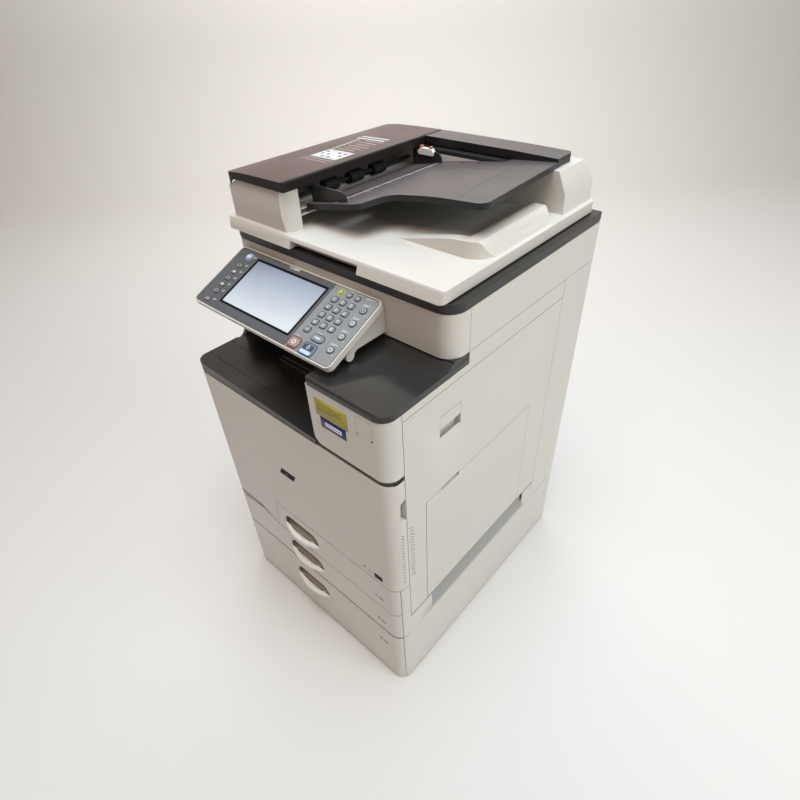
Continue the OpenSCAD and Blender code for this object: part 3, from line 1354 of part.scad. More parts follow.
module front_fence() color(charcoal) place() fence(fence_y[0], 96);
module rear_fence() color(charcoal) place() fence(fence_y[1] - 3, 80);

// ---- right side doors ----

right_z = main_z + right_door_rise - 3;
right_z1 = scan_z - top_strip_h - seam;
right_y = [wrap_d + seam, right_door_y];
right_edge_r = 5;
bypass_z = right_z + cover_t + 1;
pocket_x = hw - right_rim;
lever_y = [wrap_d + 98, wrap_d + 161];
lever_z = [right_z1 - 112, right_z1 - 54];
lever_pivot = [hw - 3, lever_z[1] - 4.4];

module right_door() color(white) place() {
  duplex_x = pocket_x - duplex_d;
  duplex_z = [bypass_z + bypass_h + 8, right_z1 - 20];
  difference() {
    union() {
      // rim and skin
      block([pocket_x, hw], right_y, [right_z, right_z1]);
      // duplex unit
      block([duplex_x, pocket_x + eps], [right_y[0] + 20, right_y[1] - 20], [right_z + 140, duplex_z[1]]);
    }
    // hollow behind the skin, over the bypass pocket
    block([pocket_x - 1, hw - cover_t], [right_y[0] + 22.5, right_y[1] - 22.5], [duplex_z[0], duplex_z[1] - cover_t]);
    block([duplex_x - 1, pocket_x + 1], [right_y[0] + 22.5, right_y[1] - 22.5], [right_z + 142.5, duplex_z[1] - cover_t]);
    block([pocket_x - 1, hw - cover_t], [right_y[0] + cover_t, right_y[0] + 18], [right_z + cover_t, right_z1 - cover_t]);
    block([pocket_x - 1, hw - cover_t], [right_y[1] - 18, right_y[1] - cover_t], [right_z + cover_t, right_z1 - cover_t]);
    // pocket of the bypass tray
    block([hw - bypass_t - 1, hw + 1], [bypass_y - 0.8 * seam, bypass_y + bypass_l + slip],
      [bypass_z - slip - 0.5, bypass_z + bypass_h + seam]);
    // finger slot above the bypass tray edge
    block([hw - 9, hw + 1], [bypass_y + 46, bypass_y + 105], [bypass_z + bypass_h - 8, bypass_z + bypass_h + 5]);
    // lever well: sloped finger recess below the lever
    block([hw - 3, hw + 1], [lever_y[0], lever_y[1]], [lever_z[0] + 29, lever_z[1]]);
    prism_y([[hw + 1, lever_z[0]], [hw, lever_z[0]], [hw - 12, lever_z[0] + 26], [hw - 12, lever_z[1] - 6], [hw + 1, lever_z[1] - 6]],
      lever_y);
    side_vents(hw, [right_y[0] + 4, right_y[0] + 20], door_z + 22, -1);
    // round the lower outer edge on the hinge line
    shape_y([0, body_d]) difference() {
      translate([hw - right_edge_r, right_z - 1]) square([right_edge_r + 1, right_edge_r + 1]);
      translate([hw - right_edge_r, right_z + right_edge_r]) circle(right_edge_r);
    }
  }
  // well behind the lever
  difference() {
    block([hw - 14.5, hw - cover_t + eps], [lever_y[0] - 2, lever_y[1] + 2], [lever_z[0] - 2, lever_z[1] + 2]);
    block([hw - 12, hw + 1], lever_y, [lever_z[0], lever_z[1]]);
  }
  // pivot pin of the lever, held in the sides of the well
  rod_y(lever_pivot[0], lever_pivot[1], 1.2, [lever_y[0] - 1, lever_y[1] + 1]);
  // hinge pins that reach into the bypass tray
  for (s = [0, 1])
    rod_y(hw - right_edge_r, bypass_z + right_edge_r, 2,
      [s == 0 ? bypass_y - 3 : bypass_y + bypass_l - 8, s == 0 ? bypass_y + 8 : bypass_y + bypass_l + 3]);
  // paper guide ribs of the duplex unit
  for (i = [0:8])
    block([duplex_x, pocket_x], [right_y[0] + 50 + i * 48, right_y[0] + 52 + i * 48], [right_z + 141, duplex_z[1] - 1]);
}

module right_door_lever() color(white) place() {
  y = [lever_y[0] + 0.6, lever_y[1] - 0.6];
  difference() {
    union() {
      block([hw - 2.4, hw], y, [lever_z[0] + 30, lever_pivot[1] + 2.8]);
      rod_y(lever_pivot[0], lever_pivot[1], 2.8, y);
    }
    rod_y(lever_pivot[0], lever_pivot[1], 1.2 + run_fit, [y[0] - 1, y[1] + 1]);
  }
}

module bypass_tray() color(white) place() {
  x0 = hw - bypass_t;
  z = [bypass_z, bypass_z + bypass_h];
  y = [bypass_y + 0.6, bypass_y + bypass_l - 0.6];
  difference() {
    block([x0, hw], y, z);
    // shell behind the outer skin
    block([x0 - 1, hw - cover_t], [y[0] + 14, y[1] - 14], [z[0] + 16, z[1] - 14]);
    block([hw - 7, hw + 1], [bypass_y + 46, bypass_y + 105], [z[1] - 8, z[1] + 1]);
    shape_y([0, body_d]) difference() {
      translate([hw - bypass_t - 1, z[0] - 1]) square([bypass_t + 2, right_edge_r + 1]);
      translate([hw - right_edge_r, z[0] + right_edge_r]) circle(right_edge_r);
    }
    rod_y(hw - right_edge_r, z[0] + right_edge_r, 2 + run_fit, [y[0] - 1, y[0] + 9]);
    rod_y(hw - right_edge_r, z[0] + right_edge_r, 2 + run_fit, [y[1] - 9, y[1] + 1]);
  }
  // paper support ribs inside
  for (i = [1:5])
    block([x0 + 0.5, hw - cover_t + eps], [y[0] + i * (y[1] - y[0]) / 6 - 1, y[0] + i * (y[1] - y[0]) / 6 + 1],
      [z[0] + 15, z[1] - 13]);
}

// ---- front door ----

module front_door() color(white) place() {
  grip_z = door_z1 - 105;
  difference() {
    union() {
      band([tray1_z, door_z1], [-1, wrap_d]);
      deck([door_z1 - cover_t, door_z1], [cover_t / 2, door_frame_d], cover_t / 2);
      deck([door_z, door_z + cover_t], [cover_t / 2, door_frame_d], cover_t / 2);
      // upright stiffeners
      for (x = [-hw * 0.7, -hw * 0.25, hw * 0.25, hw * 0.7])
        block([x - 1, x + 1], [cover_t / 2, door_frame_d], [door_z + 1, door_z1 - 1]);
      // pocket behind the grip notch
      block([hw - 14, hw - 1], [20, wrap_d], [grip_z - 4, grip_z + 64]);
    }
    // the upper tray front takes this corner
    prism_y([[step_x, door_z], [step_x - door_step_run, tray1_z], [step_x - 80, drop_z], [-hw - 1, drop_z],
      [-hw - 1, tray1_z - 1], [hw + 1, tray1_z - 1], [hw + 1, door_z]], [-50, body_d]);
    // grip notch at the right edge
    prism_x([[22, grip_z + 8], [wrap_d + 1, grip_z], [wrap_d + 1, grip_z + 60], [22, grip_z + 52]], [hw - 12, hw + 1]);
    side_vents(hw, [20, 30], door_z + 22, -1);
    // free space for the hinge posts
    for (z = hinge_z)
      block([-hw - 1, knuckle_x + knuckle_r + 1], [wrap_d - slip, far], [z - 1, z + knuckle_h + slip]);
  }
  // knuckles of the door
  for (z = hinge_z) difference() {
    union() {
      rod_z(knuckle_x, knuckle_y, knuckle_r, [z + knuckle_h + slip, z + 2 * knuckle_h]);
      block([-hw, -hw + cover_t], [wrap_d - 1, knuckle_y], [z + knuckle_h + slip, z + 2 * knuckle_h]);
    }
    rod_z(knuckle_x, knuckle_y, knuckle_r / 2 + run_fit, [z, z + 2 * knuckle_h + 1]);
  }
}

// ---- drawing ----

bank_housing();
levelling_feet();
main_chassis();
left_cover();
rear_cover();
right_top_cover();
right_lower_cover();
column_front_cover();
column_top_cover();
output_tray();
scanner_case();
scanner_bezel();
platen_glass();
power_inlet();
lid_hinges();
panel_arm();
toner_bottles();
drum_units();
scan_carriage();
front_door();
right_door();
right_door_lever();
bypass_tray();
tray_1_cassette();
tray_1_front();
tray_2_cassette();
tray_2_front();
tray_3_cassette();
tray_3_front();
power_switch_cover();
panel_housing();
panel_bezel();
touch_screen();
adf_base();
platen_pad();
adf_front_housing();
adf_rear_housing();
adf_feed_cover();
adf_input_tray();
front_fence();
rear_fence();
adf_feed_roller();
fuser_roller();
key_1();
key_2();
key_3();
key_4();
key_5();
key_6();
key_7();
key_8();
key_9();
key_star();
key_0();
key_hash();
start_key();
stop_key();
enter_key();
left_keys();
right_keys();
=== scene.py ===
import json
import math

import bmesh
import bpy
from mathutils import Matrix, Vector
from mathutils.bvhtree import BVHTree


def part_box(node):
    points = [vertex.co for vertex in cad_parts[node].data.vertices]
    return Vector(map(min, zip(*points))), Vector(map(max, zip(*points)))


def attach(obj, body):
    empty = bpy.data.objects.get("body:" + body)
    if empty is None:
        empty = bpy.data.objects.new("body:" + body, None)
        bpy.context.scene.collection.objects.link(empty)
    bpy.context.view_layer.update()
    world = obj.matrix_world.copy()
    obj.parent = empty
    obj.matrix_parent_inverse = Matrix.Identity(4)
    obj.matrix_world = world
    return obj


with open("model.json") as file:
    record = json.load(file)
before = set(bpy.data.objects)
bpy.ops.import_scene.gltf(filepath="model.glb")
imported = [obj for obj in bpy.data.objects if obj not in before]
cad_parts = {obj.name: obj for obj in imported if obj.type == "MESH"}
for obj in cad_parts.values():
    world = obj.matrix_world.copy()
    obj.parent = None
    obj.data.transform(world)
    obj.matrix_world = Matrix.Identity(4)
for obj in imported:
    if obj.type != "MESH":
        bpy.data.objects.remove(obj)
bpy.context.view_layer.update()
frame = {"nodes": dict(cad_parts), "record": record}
NODES = frame["nodes"]
SLOT = {row["node"]: row["material_slot"] for row in frame["record"]["subparts"]}
SCENE = bpy.context.scene
MM = 0.001

# ---------------------------------------------------------------- material helpers


def srgb(r, g, b):
    """A colour as it looks on a screen, 0 to 255, as linear values."""
    out = []
    for v in (r, g, b):
        v = v / 255
        out.append(v / 12.92 if v <= 0.04045 else ((v + 0.055) / 1.055) ** 2.4)
    return (*out, 1.0)


def link(tree, a, a_out, b, b_in):
    tree.links.new(a.outputs[a_out], b.inputs[b_in])


def new_material(name):
    m = bpy.data.materials.new(name)
    m.use_nodes = True
    tree = m.node_tree
    shader = tree.nodes["Principled BSDF"]
    return m, tree, shader


def noise(tree, source, output, scale, detail=2):
    node = tree.nodes.new("ShaderNodeTexNoise")
    node.inputs["Scale"].default_value = scale
    node.inputs["Detail"].default_value = detail
    link(tree, source, output, node, "Vector")
    return node


def uneven_gloss(tree, source, shader, low, high):
    """Roughness that follows a noise between two values."""
    span = tree.nodes.new("ShaderNodeMapRange")
    span.inputs["To Min"].default_value = low
    span.inputs["To Max"].default_value = high
    link(tree, source, "Fac", span, "Value")
    link(tree, span, "Result", shader, "Roughness")


def scaled_sum(tree, source, output, factor, add):
    """A node's value times a factor, plus a number or another node's value."""
    node = tree.nodes.new("ShaderNodeMath")
    node.operation = "MULTIPLY_ADD"
    link(tree, source, output, node, 0)
    node.inputs[1].default_value = factor
    if isinstance(add, float):
        node.inputs[2].default_value = add
    else:
        link(tree, add, 0, node, 2)
    return node


GLOSS_SWING = 0.08  # how far a plastic's roughness wanders to each side


def plastic(name, colour, rough=0.45, grain=900, bump=0.02, tint=0.05, coat=0.0, specular=0.5):
    """Moulded plastic: fine spark-eroded grain in the bump, slow changes of shade and of gloss."""
    m, tree, shader = new_material(name)
    shader.inputs["Specular IOR Level"].default_value = specular
    shader.inputs["Coat Weight"].default_value = coat
    shader.inputs["Coat Roughness"].default_value = 0.15
    coord = tree.nodes.new("ShaderNodeTexCoord")
    cloud = noise(tree, coord, "Object", 3.5, 5)
    ramp = tree.nodes.new("ShaderNodeValToRGB")
    dark, light = ramp.color_ramp.elements
    dark.color = [c * (1 - tint) for c in colour[:3]] + [1]
    dark.position = 0.3
    light.color = [min(1, c * (1 + tint)) for c in colour[:3]] + [1]
    light.position = 0.7
    link(tree, cloud, "Fac", ramp, "Fac")
    link(tree, ramp, "Color", shader, "Base Color")
    smear = noise(tree, coord, "Object", 9, 6)
    uneven_gloss(tree, smear, shader, max(0.05, rough - GLOSS_SWING), min(1, rough + GLOSS_SWING))
    if bump:
        fine = noise(tree, coord, "Object", grain)
        relief = tree.nodes.new("ShaderNodeBump")
        relief.inputs["Strength"].default_value = bump * 10
        relief.inputs["Distance"].default_value = 0.0002
        link(tree, fine, "Fac", relief, "Height")
        link(tree, relief, "Normal", shader, "Normal")
    return m


def metal(name, colour, rough=0.35):
    """Rolled or turned metal with fine streaks."""
    m, tree, shader = new_material(name)
    shader.inputs["Metallic"].default_value = 1
    shader.inputs["Base Color"].default_value = colour
    coord = tree.nodes.new("ShaderNodeTexCoord")
    stretch = tree.nodes.new("ShaderNodeMapping")
    stretch.inputs["Scale"].default_value = (4, 60, 4)
    link(tree, coord, "Object", stretch, "Vector")
    streak = noise(tree, stretch, "Vector", 12, 6)
    uneven_gloss(tree, streak, shader, rough - 0.1, rough + 0.12)
    return m


def glass_pane(name):
    """Clear greenish glass with faint smears."""
    m, tree, shader = new_material(name)
    shader.inputs["Base Color"].default_value = srgb(196, 214, 208)
    shader.inputs["Transmission Weight"].default_value = 0.9
    shader.inputs["IOR"].default_value = 1.5
    coord = tree.nodes.new("ShaderNodeTexCoord")
    uneven_gloss(tree, noise(tree, coord, "Object", 7), shader, 0.02, 0.07)
    return m


def coordinate(tree, output, axis):
    """One axis of the solid's own frame (Object) or of its surface direction (Normal), as node and output."""
    coord = tree.nodes.new("ShaderNodeTexCoord")
    split = tree.nodes.new("ShaderNodeSeparateXYZ")
    link(tree, coord, output, split, "Vector")
    return split, axis


def above(tree, source, output, limit, soft=0.0005):
    """1 where the value is over the limit, else 0, with a narrow ramp between."""
    mask = tree.nodes.new("ShaderNodeMapRange")
    mask.inputs["From Min"].default_value = limit - soft
    mask.inputs["From Max"].default_value = limit + soft
    link(tree, source, output, mask, "Value")
    return mask


def below(tree, source, output, limit, soft=0.0005):
    """1 where the value is under the limit, else 0."""
    mask = above(tree, source, output, limit, soft)
    mask.inputs["To Min"].default_value = 1
    mask.inputs["To Max"].default_value = 0
    return mask


def both(tree, first, second):
    """1 where both masks are 1."""
    product = tree.nodes.new("ShaderNodeMath")
    product.operation = "MULTIPLY"
    link(tree, first, "Result", product, 0)
    link(tree, second, "Result", product, 1)
    return above(tree, product, "Value", 0.5, 0.2)


def tint_where(m, mask, colour):
    """Mixes a second colour over a material's own where the mask is 1."""
    tree = m.node_tree
    shader = tree.nodes["Principled BSDF"]
    old = shader.inputs["Base Color"].links[0].from_socket
    mix = tree.nodes.new("ShaderNodeMix")
    mix.data_type = "RGBA"
    link(tree, mask, "Result", mix, "Factor")
    tree.links.new(old, mix.inputs["A"])
    mix.inputs["B"].default_value = colour
    tree.links.new(mix.outputs["Result"], shader.inputs["Base Color"])


# ---------------------------------------------------------------- materials

SHELL = srgb(214, 210, 203)  # the outer covers' warm white
WHITE = plastic("shell_white", SHELL, rough=0.46, tint=0.02)
# grey of the painted shadow at the left end of the second drawer
PAINTED_SHADOW_GREY = plastic("shell_painted_shadow", srgb(158, 152, 145), rough=0.5, tint=0.03)
DARK = plastic("shell_charcoal", srgb(40, 39, 38), rough=0.3, grain=700, bump=0.03, tint=0.08)
BLACK = plastic("shell_black", srgb(24, 23, 24), rough=0.4, tint=0.1)
KEY = plastic("key_grey", srgb(128, 131, 134), rough=0.3, bump=0, tint=0.04)
STEEL = metal("sheet_steel", srgb(190, 192, 195))
PANE = glass_pane("pane_glass")
RUBBER = plastic("rubber_black", srgb(20, 20, 20), rough=0.75, grain=400, bump=0.05, tint=0.15)
PAD = plastic("pad_white", srgb(230, 230, 226), rough=0.6, tint=0.01)
DRUM = plastic("drum_coat", srgb(24, 70, 76), rough=0.18, bump=0, tint=0.05, coat=0.6)
INK = plastic("print_dark", srgb(58, 58, 62), rough=0.5, bump=0, tint=0.03)
INK_GREY = plastic("print_grey", srgb(88, 86, 84), rough=0.6, bump=0, tint=0.03)
INK_WHITE = plastic("print_white", srgb(226, 227, 228), rough=0.5, bump=0, tint=0.02)
PALE_PRINT = plastic("print_pale", srgb(176, 160, 156), rough=0.5, bump=0, tint=0.03)
PLATE_BLACK = plastic("plate_black", srgb(14, 14, 17), rough=0.6, bump=0, tint=0.05, specular=0.15)
PLATE_SILVER = plastic("plate_silver", srgb(178, 180, 182), rough=0.3, bump=0, tint=0.04)
OLIVE = plastic("sticker_olive", srgb(168, 154, 50), rough=0.45, grain=300, bump=0.01, tint=0.05)
BLUE = plastic("sticker_blue", srgb(28, 38, 104), rough=0.4, grain=300, bump=0.01, tint=0.05)
RED = plastic("rim_red", srgb(168, 62, 48), rough=0.35, bump=0, tint=0.04)
START_BLUE = plastic("rim_blue", srgb(46, 104, 150), rough=0.35, bump=0, tint=0.04)
PALE_BLUE = plastic("key_pale_blue", srgb(196, 212, 236), rough=0.3, bump=0, tint=0.03)
YELLOW = plastic("rim_yellow", srgb(196, 196, 96), rough=0.35, bump=0, tint=0.04)
ORANGE = plastic("tip_orange", srgb(186, 118, 74), rough=0.5, tint=0.05)
GREEN = plastic("grip_green", srgb(60, 128, 96), rough=0.4, tint=0.05)
KEY_TOP = plastic("key_top", srgb(140, 143, 146), rough=0.28, bump=0, tint=0.04)
START_CAP = plastic("start_cap", srgb(58, 78, 96), rough=0.28, bump=0, tint=0.04)
STOP_CAP = plastic("stop_cap", srgb(168, 148, 142), rough=0.3, bump=0, tint=0.04)
TONER_COLOURS = {
    "yellow": (222, 196, 40),
    "magenta": (186, 40, 110),
    "cyan": (36, 138, 190),
    "black": (40, 40, 42),
}
TONER = [plastic("toner_" + n, srgb(*c), rough=0.4, bump=0, tint=0.04) for n, c in TONER_COLOURS.items()]

# parts of a surface direction that points up
COVER_EDGE, TRAY_EDGE = 0.55, 0.6  # under this a surface is an edge of the feed cover or the document tray, and gets painted shade
EDGE_BLEND = 0.1  # soft change between face and edge
SEAM_SLOPE = 0.8  # over this a tray front's surface is the seam under the next front, which gets painted shade
RECESS_SLOPE = 0.1  # over this the side cover's surface is the slope of its hand recess, which gets painted shade
SLOPE_BLEND = 0.05

# lengths in metres
RIM_WIDTH = 0.011  # black rim at the feed cover's right
FLAP_WIDTH = 0.06  # end flap of the document tray
PANEL_INSET = 0.004  # the housing stands this far out round the panel's bezel
KEY_FIELD = 0.2888  # from the panel's left edge to the silver field of the keys
PANEL_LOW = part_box("panel_bezel")[0]
FRONT_OUT = 0.016  # the handle bars stand this far out of the tray fronts
SCOOP_IN, BAR_OUT = 0.0022, 0.0012  # behind a front's face the scoop's painted shade starts, and before it the bar's painted highlight
HANDLE_X = (-0.09, 0.05)  # the finger scoop's reach across a tray front
LEDGE_X, LEDGE_Z = 0.2, 1.08  # the rear housing's inner ledge lies left of x and over z


def cover_material():
    """Glossy brown-black cover: brown on top and black along its right rim, with painted shade in black round
    its edges.
    """
    m = plastic("cover_brown", srgb(72, 36, 33), rough=0.32, bump=0, tint=0.08, specular=0.34)
    tree = m.node_tree
    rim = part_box("adf_feed_cover")[1].x - RIM_WIDTH
    tint_where(m, above(tree, *coordinate(tree, "Object", "X"), rim), srgb(30, 29, 30))
    # painted shade: black where the cover's surface turns away from up
    tint_where(m, below(tree, *coordinate(tree, "Normal", "Z"), COVER_EDGE, EDGE_BLEND), srgb(36, 30, 29))
    return m


def tray_material():
    """Grey document tray with an end flap of another grey, and painted shade in black on its edges."""
    m = plastic("tray_grey", srgb(88, 80, 82), rough=0.38, grain=800, bump=0.03, tint=0.06)
    tree = m.node_tree
    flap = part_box("adf_input_tray")[1].x - FLAP_WIDTH
    tint_where(m, above(tree, *coordinate(tree, "Object", "X"), flap), srgb(84, 83, 83))
    # painted shade: near black where the tray's surface turns away from up
    tint_where(m, below(tree, *coordinate(tree, "Normal", "Z"), TRAY_EDGE, EDGE_BLEND), srgb(28, 28, 30))
    return m


def panel_material():
    """Dark grey round the screen, silver grey under the keys."""
    m = plastic("panel_dark_grey", srgb(92, 94, 97), rough=0.36, grain=1500, bump=0.01, tint=0.05)
    tree = m.node_tree
    keys_from = PANEL_LOW.x - PANEL_INSET + KEY_FIELD
    tint_where(m, above(tree, *coordinate(tree, "Object", "X"), keys_from), srgb(140, 144, 145))
    return m


def screen_material():
    """Sleeping touch screen under clear glass, with a painted reflection: a soft blue-grey to near white
    fade.
    """
    m, tree, shader = new_material("screen_painted_reflection")
    low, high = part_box("touch_screen")
    coord = tree.nodes.new("ShaderNodeTexCoord")
    place = tree.nodes.new("ShaderNodeMapping")
    place.inputs["Location"].default_value = (-low.x, -low.y, 0)
    link(tree, coord, "Object", place, "Vector")
    split = tree.nodes.new("ShaderNodeSeparateXYZ")
    link(tree, place, "Vector", split, "Vector")
    down = scaled_sum(tree, split, "Y", -1 / (high.y - low.y) * 0.85, 0.85)
    across = scaled_sum(tree, split, "X", 0.18 / (high.x - low.x), down)
    haze = noise(tree, coord, "Object", 30)
    drift = scaled_sum(tree, haze, "Fac", 0.08, across)
    # painted reflection: the fade from blue-grey to near white across the screen
    ramp = tree.nodes.new("ShaderNodeValToRGB")
    dim, bright = ramp.color_ramp.elements
    dim.position = 0.05
    dim.color = srgb(136, 146, 170)
    bright.position = 0.95
    bright.color = srgb(214, 222, 228)
    link(tree, drift, 0, ramp, "Fac")
    link(tree, ramp, "Color", shader, "Base Color")
    shader.inputs["Roughness"].default_value = 0.18
    shader.inputs["Coat Weight"].default_value = 0.5
    shader.inputs["Coat Roughness"].default_value = 0.05
    return m


def tray_front_material():
    """Covers' white, with painted shade in the finger scoop and on the seam, and a painted highlight on the
    handle bar.
    """
    m = plastic("shell_white_tray", SHELL, rough=0.4, tint=0.02)
    tree = m.node_tree
    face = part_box("tray_3_front")[0].y + FRONT_OUT
    # painted shade on the seam under the next front
    tint_where(m, above(tree, *coordinate(tree, "Normal", "Z"), SEAM_SLOPE, SLOPE_BLEND), srgb(84, 78, 73))
    deep = above(tree, *coordinate(tree, "Object", "Y"), face + SCOOP_IN)
    right_part = above(tree, *coordinate(tree, "Object", "X"), HANDLE_X[0])
    left_part = below(tree, *coordinate(tree, "Object", "X"), HANDLE_X[1])
    scoop = both(tree, deep, both(tree, right_part, left_part))
    # painted shade in the finger scoop
    tint_where(m, scoop, srgb(186, 178, 168))
    # painted highlight on the handle bar
    tint_where(m, below(tree, *coordinate(tree, "Object", "Y"), face - BAR_OUT), srgb(248, 247, 245))
    return m


def rear_housing_material():
    """Covers' white, black on the inner ledge beside the document tray."""
    m = plastic("shell_white_rear", SHELL, rough=0.46, tint=0.02)
    tree = m.node_tree
    high = above(tree, *coordinate(tree, "Object", "Z"), LEDGE_Z)
    ledge = both(tree, high, below(tree, *coordinate(tree, "Object", "X"), LEDGE_X))
    tint_where(m, ledge, srgb(38, 37, 38))
    return m


def side_cover_material():
    """Covers' white, with painted shade in grey on the sloped hand recess."""
    m = plastic("shell_white_side", SHELL, rough=0.46, tint=0.02)
    tree = m.node_tree
    slope = above(tree, *coordinate(tree, "Normal", "Z"), RECESS_SLOPE, SLOPE_BLEND)
    # painted shade on the slope of the hand recess
    tint_where(m, slope, srgb(158, 158, 156))
    return m


BY_SLOT = {
    "white_shell": WHITE,
    "dark_shell": DARK,
    "feed_cover_gloss": cover_material(),
    "panel_grey": panel_material(),
    "key_grey": KEY,
    "start_blue": KEY,
    "screen": screen_material(),
    "pane": PANE,
    "sheet_steel": STEEL,
    "black_part": BLACK,
    "toner_case": BLACK,
    "drum_coat": DRUM,
    "roller_rubber": RUBBER,
    "pad_white": PAD,
    "foot_rubber": RUBBER,
    "hinge_metal": BLACK,
}
OWN_FINISH = {
    "adf_input_tray": tray_material(),
    "right_lower_cover": side_cover_material(),
    "adf_rear_housing": rear_housing_material(),
}
TRAY_FRONT = tray_front_material()
OWN_FINISH.update({f"tray_{n}_front": TRAY_FRONT for n in (1, 2, 3)})

# ---------------------------------------------------------------- CAD solids

EDGE = 0.0006  # rounding of a solid's sharp edges
EDGE_ANGLE = math.radians(30)


def dress(node):
    """Rounds a solid's sharp edges and gives it its finish; its own vertices stay as they are."""
    o = NODES[node]
    mesh = o.data
    bpy.context.view_layer.objects.active = o
    if mesh.has_custom_normals:
        with bpy.context.temp_override(active_object=o, object=o):
            bpy.ops.mesh.customdata_custom_splitnormals_clear()
    for p in mesh.polygons:
        p.use_smooth = True
    weld = o.modifiers.new("weld", "WELD")
    weld.merge_threshold = 0.00001
    flat = o.modifiers.new("flat", "DECIMATE")
    flat.decimate_type = "DISSOLVE"
    flat.angle_limit = math.radians(0.5)
    bevel = o.modifiers.new("edges", "BEVEL")
    bevel.width = EDGE
    bevel.segments = 2
    bevel.limit_method = "ANGLE"
    bevel.angle_limit = EDGE_ANGLE
    bevel.harden_normals = True
    bevel.use_clamp_overlap = True
    mesh.materials.clear()
    mesh.materials.append(OWN_FINISH.get(node) or BY_SLOT[SLOT[node]])


for node_name in NODES:
    dress(node_name)

# ---------------------------------------------------------------- making detail pieces


def table_frame(origin, u, v):
    """Matrix of a flat work frame: origin in metres, u and v along the surface, the third axis out of it."""
    u = Vector(u).normalized()
    v = Vector(v).normalized()
    n = u.cross(v)
    m = Matrix((u, v, n)).transposed().to_4x4()
    m.translation = Vector(origin)
    return m


def rrect(cx, cy, w, h, r=0.0, n=4):
    """Rectangle, with n steps round each corner where it has a radius."""
    if r <= 0:
        x, y = w / 2, h / 2
        return [(cx - x, cy - y), (cx + x, cy - y), (cx + x, cy + y), (cx - x, cy + y)]
    points = []
    for sx, sy, start in ((1, -1, -90), (1, 1, 0), (-1, 1, 90), (-1, -1, 180)):
        for i in range(n + 1):
            a = math.radians(start + 90 * i / n)
            x = cx + sx * (w / 2 - r) + r * math.cos(a)
            y = cy + sy * (h / 2 - r) + r * math.sin(a)
            points.append((x, y))
    return points


def oval(cx, cy, rx, ry, n=28):
    angles = [math.tau * i / n for i in range(n)]
    return [(cx + rx * math.cos(a), cy + ry * math.sin(a)) for a in angles]


def diamond(cx, cy, r):
    return [(cx, cy - r), (cx + r, cy), (cx, cy + r), (cx - r, cy)]


class Piece:
    """Collects shaped plates and rings in millimetres on work frames, then makes one object of them."""

    def __init__(self, name, body, finish):
        self.name, self.body, self.finish = name, body, finish
        self.bm = bmesh.new()
        self.materials = []

    def index(self, material):
        if material not in self.materials:
            self.materials.append(material)
        return self.materials.index(material)

    def loop(self, m, outline, height):
        return [self.bm.verts.new(m @ Vector((x * MM, y * MM, height * MM))) for x, y in outline]

    def face(self, verts, i):
        """Adds a face, unless the piece has one on the same points."""
        try:
            f = self.bm.faces.new(verts)
        except ValueError:
            return
        f.material_index = i
        f.smooth = True

    def wall(self, a, b, i):
        """Band of faces between two loops of as many points."""
        for k in range(len(a)):
            j = (k + 1) % len(a)
            self.face([a[k], a[j], b[j], b[k]], i)

    def slab(self, low, high, i):
        self.face(high, i)
        self.face(low[::-1], i)
        self.wall(low, high, i)

    def plate(self, m, outline, low, high, material):
        i = self.index(material)
        self.slab(self.loop(m, outline, low), self.loop(m, outline, high), i)

    def ring(self, m, outer, inner, low, high, material):
        i = self.index(material)
        section = ((outer, low), (outer, high), (inner, high), (inner, low))
        loops = [self.loop(m, path, height) for path, height in section]
        for a, b in zip(loops, loops[1:] + loops[:1]):
            self.wall(a, b, i)

    def stroke(self, m, path, width, low, high, material):
        """Line of plates, each a little longer than its part of the path so that they meet."""
        for (x0, y0), (x1, y1) in zip(path, path[1:]):
            dx, dy = x1 - x0, y1 - y0
            d = math.hypot(dx, dy)
            ex, ey = dx / d * width * 0.4, dy / d * width * 0.4
            nx, ny = -dy / d * width / 2, dx / d * width / 2
            outline = [
                (x0 - ex - nx, y0 - ey - ny),
                (x1 + ex - nx, y1 + ey - ny),
                (x1 + ex + nx, y1 + ey + ny),
                (x0 - ex + nx, y0 - ey + ny),
            ]
            self.plate(m, outline, low, high, material)

    def dome(self, m, cx, cy, r, height, material, base=0.0):
        """Rounded head, such as a screw's or a lens."""
        i = self.index(material)
        sides, steps = 20, 4
        loops = []
        for k in range(steps):
            a = math.pi / 2 * k / steps
            rr = r * math.cos(a)
            loops.append(self.loop(m, oval(cx, cy, rr, rr, sides), base + height * math.sin(a)))
        for a, b in zip(loops, loops[1:]):
            self.wall(a, b, i)
        top = self.loop(m, [(cx, cy)], base + height)[0]
        last = loops[-1]
        for k in range(sides):
            self.face([last[k], last[(k + 1) % sides], top], i)

    def done(self, bevel):
        """Makes the object; the bevel is in millimetres."""
        mesh = bpy.data.meshes.new(self.name)
        bmesh.ops.recalc_face_normals(self.bm, faces=self.bm.faces)
        self.bm.to_mesh(mesh)
        self.bm.free()
        for material in self.materials:
            mesh.materials.append(material)
        o = bpy.data.objects.new(self.name, mesh)
        SCENE.collection.objects.link(o)
        if bevel:
            edges = o.modifiers.new("edges", "BEVEL")
            edges.width = bevel * MM
            edges.segments = 2
            edges.limit_method = "ANGLE"
            edges.angle_limit = math.radians(50)
            edges.harden_normals = True
        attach(o, self.body)


